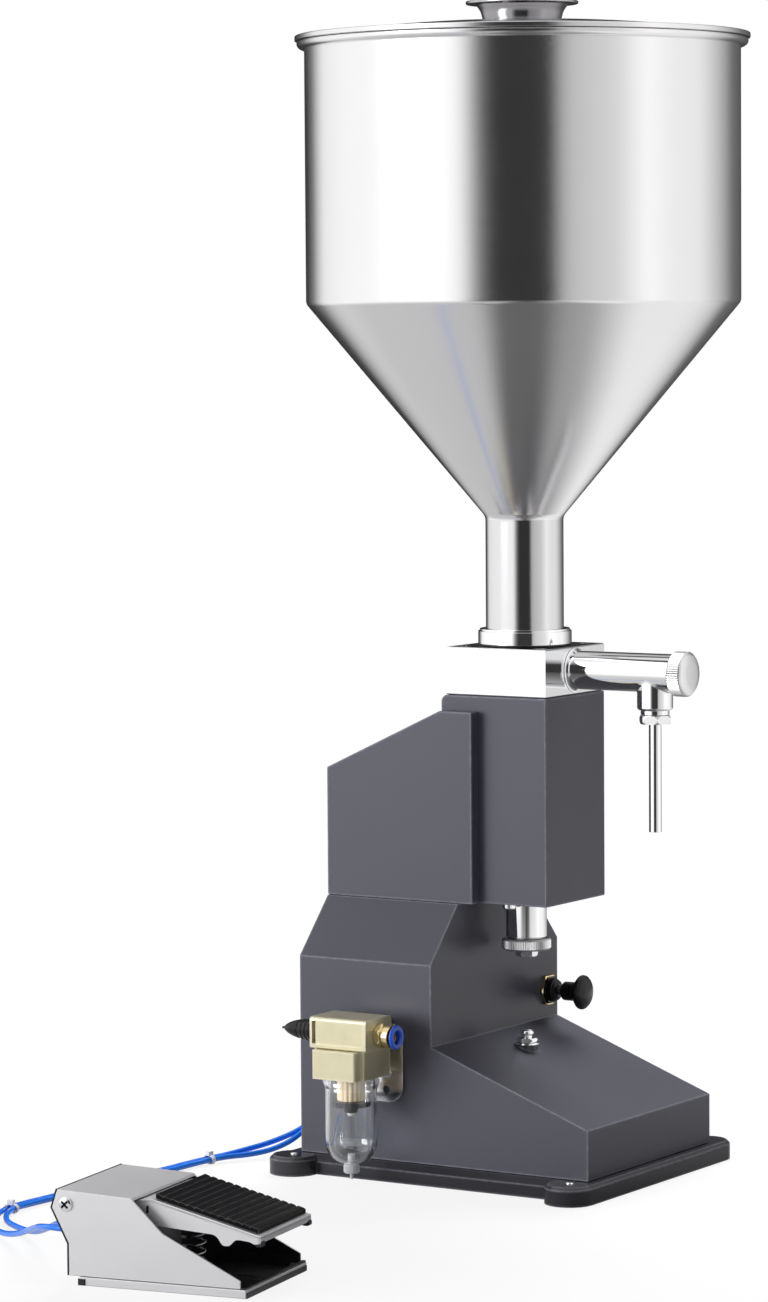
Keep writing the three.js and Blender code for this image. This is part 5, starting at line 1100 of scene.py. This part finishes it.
def bowl_round(radius, low, steps=12):
    return [(3 + (radius - 3) * math.sin(math.pi / 2 * k / steps),
             low + 15 * (1 - math.cos(math.pi / 2 * k / steps)), 0) for k in range(steps + 1)]


bowl_outline = rounded([
    *bowl_round(bowl_radius, bowl_inside_low - bowl_wall), (bowl_radius, 69.0, 3),
    (20.0, 73.0, 2), (20.0, 76.7, 0.3), (17.8, 76.7, 0.2), (17.8, seat_top, 0.3),
    (15.8, seat_top, 0.3), (15.8, 69.0, 2), *reversed(bowl_round(bowl_inside, bowl_inside_low))],
    steps=4)
turned("clear_bowl", bowl_outline, "clear_plastic", centre=filter_axis,
       stands_for=["filter_bowl"])
turned("drain_cock", rounded([
    (0, 4.4, 0), (0.9, 4.4, 0.2), (1.2, 5.0, 0.2), (1.2, 8.6, 0.2), (4.6, 8.6, 0.3),
    (5.6, 9.6, 0.4), (5.6, 14.0, 0.4), (5.0, 15.2, 0.3), (2.7, 15.2, 0.2), (2.7, 21.5, 0.3),
    (0, 21.5, 0)]), "milky_plastic", centre=filter_axis, sides=60, shape=knurl(5.5, 0.45),
    body="filter_drain", stands_for=["filter_drain"], slot="clear_plastic")
turned("sintered_element", rounded([
    (0, 60.2, 0), (9.4, 60.2, 0.6), (9.8, 61.0, 0.3), (9.8, seat_top, 0.3), (0, seat_top, 0)]),
    "filter_element", centre=filter_axis, sides=72,
    shape=lambda r, h, k: r - 0.55 if r > 9 and k % 4 > 1 else r, stands_for=["filter_element"])
turned("notched_baffle", rounded([
    (0, 51.4, 0), (3.6, 51.4, 0.8), (4.6, 52.4, 0.4), (5.2, 55.0, 1.0), (13.2, 56.2, 0.5),
    (13.8, 57.0, 0.4), (13.8, 59.9, 0.4), (0, 59.9, 0)]), "black_plastic", centre=filter_axis,
    shape=lambda r, h, k: r - 1.5 if r > 12 and k % 8 > 4 else r, stands_for=["filter_baffle"])
turned("baffle_hook", rounded([
    (0, 49.2, 0), (2.0, 49.2, 0.8), (2.8, 50.4, 0.5), (2.8, 51.6, 0.3), (0, 51.6, 0)]),
    "white_plastic", centre=filter_axis, sides=48)

# %% [markdown]
# ## Ports
# A rubber plug with a ribbed skirt covers the rear port, and its tip tapers to a point. The
# front port has a straight brass fitting whose blue collet stands off a little, so that it
# can be pressed to release an air tube.

# %% Plug and fitting
in_port = {"axis": "x", "centre": (0, filter_y, port_z)}
fitting_x = filter_x + 23.3
turned("rubber_plug", rounded([
    (0, -108.3, 0), (0.8, -108.3, 0.3), (0.9, -106.6, 0.3), (2.4, -105.0, 0.8),
    (4.4, -101.6, 2.0), (6.0, -96.8, 2.0), (6.7, -93.2, 0.5), (6.2, -92.6, 0.3),
    (7.3, -89.4), (6.8, -88.8, 0.3), (7.8, -85.8), (7.2, -85.2, 0.3), (8.0, -82.4),
    (7.4, -81.8, 0.3), (8.0, -79.6), (7.6, -79.0, 0.3), (8.0, -76.4), (8.0, -74.8, 0.3),
    (5.6, -74.8, 0.1), (5.6, -65.8, 0.2), (0, -65.8, 0)]),
    "black_plastic", sides=72, stands_for=["inlet_plug"], **in_port)
hexagon("fitting_hexagon", 15, fitting_x, fitting_x + 4.8, 4.3, "brass", **in_port)
turned("air_fitting", rounded([(r, fitting_x + h) for r, h in (
    (4.1, -8.6), (5.6, -8.6), (5.6, 0), (6.9, 0), (6.9, 6.2), (7.8, 6.6), (7.8, 10.6),
    (7.2, 11.2), (4.1, 11.2))], 0.25), "brass", sides=72, stands_for=["outlet_fitting"],
    **in_port)
turned("release_collet", rounded([(r, fitting_x + h) for r, h in (
    (4.2, 4.0), (5.2, 4.0), (5.2, 13.1), (8.4, 13.1), (8.5, 14.2), (7.8, 15.5), (5.2, 15.5),
    (4.2, 14.4))], 0.35), "blue_plastic", sides=72, body="outlet_collet",
    stands_for=["outlet_collet"], **in_port)
turned("fitting_ring", rounded([(r, fitting_x + h) for r, h in (
    (5.4, 11.15), (7.7, 11.15), (7.7, 11.45), (5.4, 11.45))], 0.1), "black_plastic", sides=72,
    **in_port)

# %% [markdown]
# # The foot pedal
# The pedal stands in its own frame, turned a little from the machine. Its points are written in
# that frame and turned on the way in. The treadle is a folded plate whose side flanges have a
# rounded lobe, so its outlines carry a radius at each corner.

# %% Helpers for the pedal's frame
def on_pedal(mesh):
    spin = Matrix.Rotation(pedal_turn, 3, "Z")
    return [tuple(spin @ Vector(p) + pedal_origin) for p in mesh[0]], mesh[1]


def add_to_pedal(name, meshes, finish, **place):
    return add_piece(name, *on_pedal(joined(*meshes)), finish, **place)


# %% [markdown]
# The treadle is one folded sheet: the plate with its bend, a flange down each side with an ear
# for the pivot, and a lip in front. Small rubber buffers keep it from ringing on the hood.

# %% Treadle
pivot_x, pivot_z, treadle_half, plate = -66.3, 50.9, 38.5, 1.8
treadle_top = [(-58, 53.6), (-23, 54.4), (-11, 56.9), (64.5, 38.2)]
plate_side = rounded(
    [(x, z - plate, 2 if -30 < x < 0 else 0.2) for x, z in treadle_top]
    + [(x, z, 2 if -30 < x < 0 else 1.0) for x, z in reversed(treadle_top)])
ear_radius = 5.6
ear = [(pivot_x + ear_radius * math.cos(a), pivot_z + ear_radius * math.sin(a), 0)
       for a in (math.pi * (1.45 - 0.95 * k / 14) for k in range(15))]
flange_side = rounded([
    *reversed(ear), (-56, 46.2, 3), (-12, 40.2, 12), (34.0, 37.0, 4), (38.2, 30.4, 4),
    (43.2, 30.6, 4), (47.2, 35.2, 3), (57.0, 34.2, 2), (60.0, 32.8, 1), (64.3, 33.6, 1),
    (64.3, 37.2, 0.5), (-11, 55.9, 1), (-23, 53.4, 1), (-58, 52.6, 0)], steps=5)
lip_side = rounded([(62.7, 33.6, 0.3), (64.5, 33.6, 0.6), (64.5, 38.1, 0.6), (62.7, 38.1, 0.3)])
treadle = add_to_pedal("folded_treadle", [
    pushed_mesh(plate_side, "y", -treadle_half, treadle_half),
    *(pushed_mesh(flange_side, "y", low, low + plate)
      for low in (-treadle_half, treadle_half - plate)),
    pushed_mesh(lip_side, "y", -treadle_half, treadle_half)],
    "pedal_sheet", body="treadle", stands_for=["treadle"])
bevel(treadle, 0.35, 2)
spring_x = 0.7
seat = turned_mesh(rounded([(0, 44.6, 0), (3.4, 44.6, 0.8), (3.4, 51.6, 0), (0, 51.6, 0)]), "z",
                   (spring_x, 0, 0), 48)
add_to_pedal("spring_seat", [seat], "black_plastic", body="treadle")
rear_buffer = rounded(box_outline(-13.9, 47.4, -12.3, 52.2), 0.7)
front_buffer = rounded(box_outline(60.4, 31.4, 65.2, 35.0), 1.2)
buffers = [pushed_mesh(rear_buffer, "y", low, low + 0.5) for low in (-38.8, 38.3)]
buffers += [pushed_mesh(front_buffer, "y", low, low + 5.0) for low in (-38.3, 33.3)]
bevel(add_to_pedal("treadle_buffers", buffers, "black_rubber", body="treadle"), 0.2)

# %% [markdown]
# The tread is a moulded rubber mat with thirteen ribs. Each rib has a rounded crown, so the
# outline draws every rib with its own round corners. The thin light line along each crown is
# partly the rubber's own gloss and partly a painted highlight in the mat's finish.
# The return spring is steel wire between the tray and the treadle.

# %% Ribbed mat and return spring
mat_rear, mat_front, mat_ribs, mat_half = -8.5, 62.0, 13, 36.0
mat_high, groove_high, rib_share = 3.2, 2.3, 0.80


def mat_point(x, rise, radius):
    (x0, z0), (x1, z1) = treadle_top[2:]
    return x, z0 + (x - x0) / (x1 - x0) * (z1 - z0) + 0.3 + rise, radius


pitch = (mat_front - mat_rear) / mat_ribs
mat_side = [mat_point(mat_front, 0, 0.2), mat_point(mat_rear, 0, 0.2)]
for k in range(mat_ribs):
    x0 = mat_rear + k * pitch
    x1 = x0 + pitch * (rib_share if k < mat_ribs - 1 else 1)
    if k:
        mat_side.append(mat_point(x0, groove_high, 0.2))
    mat_side += [mat_point(x0, mat_high - 0.2, 0.2), mat_point(x0 + 0.5, mat_high, 0.4),
                 mat_point(x1 - 1.6, mat_high - 0.1, 1.4), mat_point(x1, mat_high - 0.6, 0.3)]
    if k < mat_ribs - 1:
        mat_side.append(mat_point(x1, groove_high, 0.2))
mat = add_to_pedal("ribbed_mat", [pushed_mesh(rounded(mat_side), "y", -mat_half, mat_half)],
                   "pad_rubber", body="treadle", stands_for=["treadle_pad"], slot="black_rubber")
bevel(mat, 0.3, 2)
spring_low = 2.3
return_spring = add_to_pedal(
    "return_spring", [coil_mesh(7.0, 1.0, spring_low, 49.9, 7, (spring_x, 0))], "blued_steel",
    stands_for=["pedal_spring"], crease=60, slot="black_plastic")
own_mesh(return_spring)
print("mat:", mat_ribs, "ribs")

# %% [markdown]
# The pivot is a pin with a pan-head screw in each end. The pedal's floor is lined with black
# rubber that has an embossed ring, and rubber feet clip round the ends of the tray. Thin black
# strips along the hood's cheeks and edges are painted shade: they stand in for the shadow gaps
# and dark outlines there.

# %% Pivot screws, floor lining and feet
pin = turned_mesh([(0, -46.9), (2.5, -46.9), (2.5, 46.9), (0, 46.9)], "y",
                  (pivot_x, 0, pivot_z), 32)
heads = [pan_head_mesh((pivot_x, y * 46.7, pivot_z), (0, y, 0), 4.7, 1.75) for y in (-1, 1)]
pivot = add_to_pedal("pivot_pin", [pin, *heads], "polished_steel", stands_for=["pedal_pin"],
                     crease=40, slot="plain_steel")
blacken_recesses(pivot, len(heads), len(pin[1]))
lining = pushed_mesh(rounded(box_outline(-55.5, -44.7, 57.3, 44.7), 1.0), "z", 2.02, 2.26)
add_to_pedal("floor_lining", [lining], "black_rubber")
ring_points, ring_faces = turned_mesh(
    rounded([(5.0, 2.2), (7.4, 2.2), (7.2, 3.0), (5.2, 3.0)], 0.3), "z", (0, 0, 0), 48)
ring_points = [(p[0] * 1.7 + 34, p[1] * 0.9 + 2, p[2]) for p in ring_points]
add_to_pedal("floor_emboss", [(ring_points, ring_faces)], "black_rubber")
# Painted shade: black strips laid along the hood's edges where only shadow shows.
cheek_painted_shade = [(-72.3, 60.0), (-76.0, 48.3), (-64.5, 26.1), (-64.5, 5.9), (-65.6, 5.9),
              (-65.6, 25.8), (-77.1, 48.2), (-73.3, 60.2)]
add_to_pedal("hood_edge_painted_shade", [
    *(pushed_mesh(cheek_painted_shade, "y", low, low + 1.7) for low in (-46.5, 44.8)),
    pushed_mesh(rounded(box_outline(-73.3, 58.5, -72.2, 60.2), 0.3), "y", -46.5, 46.5),
    pushed_mesh(box_outline(-21.9, 55.5, -20.7, 56.7), "y", -44.7, 44.7),
    *(pushed_mesh(box_outline(-55.0, 2.3, 53.2, 9.0), "y", low, low + 0.6)
      for low in (-44.85, 44.25))], "black_rubber")
floor_stud = rounded([(0, 2.27, 0), (2.6, 2.27, 0.2), (2.3, 5.4, 0.8), (0, 5.6, 0)])
add_to_pedal("tray_feet", [
    pushed_mesh(rounded(box_outline(-58.2, -47.2, -53.0, 47.2), 0.8), "z", 0.2, 4.2),
    pushed_mesh(rounded(box_outline(54.6, -46.2, 57.3, 46.2), 0.6), "z", 5.3, 6.6),
    pushed_mesh(rounded(box_outline(57.3, -45.8, 58.2, 45.8), 0.3), "z", 0.1, 3.6),
    *(turned_mesh(floor_stud, "z", (50.8, y, 0), 32) for y in (-41.0, 41.0))], "black_rubber")

# %% [markdown]
# # Finishing the sheet-metal and block pieces
# The housing, box, cover, base, block, brackets and pedal sheets already have their true shapes.
# They keep their solids. Modifiers weld the loose corners, drop the edges between flat facets
# and round the real ones, and each gets its finish.

# %% Dress the solids that stay
edge_width = {
    "housing": 1.2, "front_box": 2.0, "rear_cover": 0.9, "base_plate": 2.4, "pump_block": 0.6,
    "cylinder_bracket": 0.5, "filter_bracket": 0.5, "pedal_hood": 1.1, "pedal_tray": 0.6,
    "air_valve": 0.6, "pedal_valve": 0.6,
}
slight_edge = 0.25
slot_of = {part["node"]: part["material_slot"] for part in frame["record"]["subparts"]}
finish_of = {**slot_of, "filter_bracket": "satin_steel", "cylinder_bracket": "plain_steel"}


def dress(node):
    solid = nodes[node]
    for place in solid.material_slots:
        place.material = materials[finish_of[node]]
    weld = solid.modifiers.new("welded_corners", "WELD")
    weld.merge_threshold = 1e-5
    flat = solid.modifiers.new("flat_faces", "DECIMATE")
    flat.decimate_type = "DISSOLVE"
    flat.angle_limit = math.radians(0.5)
    bevel(solid, edge_width.get(node, slight_edge))


for node in nodes:
    dress(node)
print("dressed", len(nodes), "solids")

# %% [markdown]
# # The studio
# ## Bands of light and dark
# Polished metal shows the room. A product studio is white on both sides, and dark where the
# camera stands, which draws the dark stripe down a steel tube. A group turns a direction round
# the machine into that brightness, for the world and for the floor.

# %% Studio bands
bands, enter, leave = effect_group(
    "studio_bands", [("Direction", "Vector", (0, 0, 0))], ["Brightness"])
towards = Vector((math.sin(camera_turn), -math.cos(camera_turn), 0))
ahead = vector_node(bands, "DOT_PRODUCT", enter["Direction"], towards, "Value")
aside = vector_node(bands, "DOT_PRODUCT", enter["Direction"], level_right, "Value")
angle = math_node(bands, "ARCTAN2", aside, ahead)
share = math_node(bands, "ADD", math_node(bands, "DIVIDE", angle, 2 * math.pi), 0.5)
stops = [
    (-180, 0.03), (-160, 0.05), (-148, 0.20), (-132, 1.00), (-110, 1.15), (-41, 1.25),
    (-34, 1.10), (-25, 0.22), (-18, 0.04), (14, 0.04), (17, 0.46), (24, 0.64), (48, 0.82),
    (66, 1.20), (84, 1.05), (104, 1.00), (124, 0.58), (142, 0.18), (180, 0.03),
]
room_ramp = add_ramp(bands, share, [(degrees / 360 + 0.5, light) for degrees, light in stops])
bands.links.new(room_ramp, leave["Brightness"])
print("bands:", len(stops), "stops round the machine")

# %% [markdown]
# ## What metal sees in the world
# Metal sees the bands, which fade overhead into an even white. A tall strip lamp stands to the
# left, well past full white. It is drawn into the world and not placed as a lamp, so that it
# shows as a clean bright line on the drum and the bowl and adds no light elsewhere.

# %% Bands and strip lamp
world = bpy.data.worlds.new("studio")
bpy.context.scene.world = world
tree = empty_tree(world)
gaze = add_node(tree, "ShaderNodeTexCoord").outputs["Generated"]
height = add_node(tree, "ShaderNodeSeparateXYZ", {0: gaze}).outputs["Z"]
room = use_group(tree, bands, {"Direction": gaze})["Brightness"]
calm = blend(tree, remap(tree, height, 0.45, 0.85), room, 0.9, "FLOAT")
lamp_bearing = math.radians(-64)
lamp_way = towards * math.cos(lamp_bearing) + level_right * math.sin(lamp_bearing)
levelled = vector_node(tree, "NORMALIZE", vector_node(tree, "MULTIPLY", gaze, (1, 1, 0)))
to_lamp = vector_node(tree, "DOT_PRODUCT", levelled, lamp_way, "Value")
lamp_face = remap(tree, to_lamp, 0.972, 0.99, 0.0, 3.6)
lamp_ends = math_node(tree, "MULTIPLY", remap(tree, height, -0.05, 0.05),
                      remap(tree, height, 0.60, 0.75, 1.0, 0.0))
mirrored = math_node(tree, "ADD", calm, math_node(tree, "MULTIPLY", lamp_face, lamp_ends))
print("strip lamp at", round(math.degrees(lamp_bearing)), "degrees from the camera")

# %% [markdown]
# ## What everything else sees
# Paint and plastic get an even grey light, a little stronger from the left. The camera sees
# plain white, also through the clear bowl.

# %% World
side = vector_node(tree, "DOT_PRODUCT", gaze, (-0.75, -0.65, -0.1), "Value")
soft = remap(tree, side, -0.6, 1.0, 0.02, 0.66)
path = add_node(tree, "ShaderNodeLightPath").outputs
seen = blend(tree, path["Is Glossy Ray"], soft, mirrored, "FLOAT")
clearly = math_node(tree, "MAXIMUM", path["Is Camera Ray"], path["Is Transmission Ray"])
strength = blend(tree, clearly, seen, 1.0, "FLOAT")
light = add_node(tree, "ShaderNodeBackground", {"Color": (1, 1, 1, 1), "Strength": strength})
add_node(tree, "ShaderNodeOutputWorld", {"Surface": light.outputs[0]})
print("world:", world.name, "with", len(tree.nodes), "nodes")

# %% [markdown]
# ## The floor
# The floor is white paper. The camera sees it almost at full white but with the machine's soft
# shadow, and further off it glows, so that its edge melts into the white world. Metal sees
# it dimmer, with a dark stripe under the machine, and other surfaces get a grey bounce from it.

# %% Paper for the floor
floor_material = bpy.data.materials.new("white_paper")
tree = empty_tree(floor_material)
spot = add_node(tree, "ShaderNodeNewGeometry").outputs["Position"]
path = add_node(tree, "ShaderNodeLightPath").outputs
away = vector_node(tree, "LENGTH", spot, out="Value")
sideways = vector_node(tree, "DOT_PRODUCT", spot, level_right, "Value")
near = add_ramp(tree, math_node(tree, "ADD", sideways, 0.5), [
    (0.0, 0.66), (0.32, 0.60), (0.41, 0.15), (0.59, 0.15), (0.68, 0.36), (0.80, 0.45), (1.0, 1.0)])
room = use_group(tree, bands, {"Direction": spot})["Brightness"]
mirrored = blend(tree, remap(tree, away, 0.7, 1.8), near, room, "FLOAT")


def shader_node(kind, **values):
    return add_node(tree, "ShaderNode" + kind, values).outputs[0]


def either_shader(share, first, second):
    return add_node(tree, "ShaderNodeMixShader", {0: share, 1: first, 2: second}).outputs[0]


white = (1, 1, 1, 1)
paper = shader_node("BsdfDiffuse", Color=(0.86, 0.86, 0.87, 1))
glow = shader_node("Emission", Color=white, Strength=1.0)
dim = shader_node("Emission", Color=white, Strength=mirrored)
bounce = shader_node("BsdfDiffuse", Color=(0.48, 0.48, 0.49, 1))
clearly = math_node(tree, "MAXIMUM", path["Is Camera Ray"], path["Is Transmission Ray"])
plain = either_shader(remap(tree, away, 0.45, 0.9, 0.86, 1.0), paper, glow)
to_camera = either_shader(clearly, bounce, plain)
to_metal = either_shader(path["Is Glossy Ray"], to_camera, dim)
add_node(tree, "ShaderNodeOutputMaterial", {"Surface": to_metal})
print("floor finish:", floor_material.name)

# %% [markdown]
# The sheet of paper lies a hair below the machine's feet, so that the two never share a face.
# It is part of the stage and not of the object.

# %% Lay the floor
floor_half = 6.0
floor_mesh = bpy.data.meshes.new("floor")
floor_square = box_outline(-floor_half, -floor_half, floor_half, floor_half)
floor_corners = [(x, y, 0) for x, y in floor_square]
floor_mesh.from_pydata(floor_corners, [], [(0, 1, 2, 3)])
floor_mesh.materials.append(floor_material)
floor = bpy.data.objects.new("floor", floor_mesh)
floor.location.z = -0.0002
bpy.context.collection.objects.link(floor)
print("floor:", 2 * floor_half, "m wide")


# %% [markdown]
# ## The lamps
# A large soft lamp on the left and a larger one behind and above do the modelling. A very weak
# one on the right only lifts the darkest sides. Metal doesn't see them, because its reflections
# are drawn by the bands.

# %% Lamps
def add_lamp(name, place, size, power):
    data = bpy.data.lights.new(name, "AREA")
    data.shape = "RECTANGLE"
    data.size, data.size_y = size
    data.energy = power
    lamp = bpy.data.objects.new(name, data)
    lamp.location = place
    aim = Vector((0, -0.1, 0.35)) - Vector(place)
    lamp.rotation_euler = aim.to_track_quat("-Z", "Y").to_euler()
    lamp.visible_glossy = False
    bpy.context.collection.objects.link(lamp)
    print(name, "at", place, "with", power, "W")


add_lamp("left_softbox", (-1.9, -2.3, 0.6), (1.8, 1.2), 63)
add_lamp("right_softbox", (2.6, -0.6, 1.0), (1.2, 1.6), 0.3)
add_lamp("overhead_softbox", (-0.4, 2.1, 2.2), (1.8, 1.8), 150)

# %% [markdown]
# # Last step
# The view layer is brought up to date before the script ends.

# %% Bring the scene up to date
bpy.context.view_layer.update()
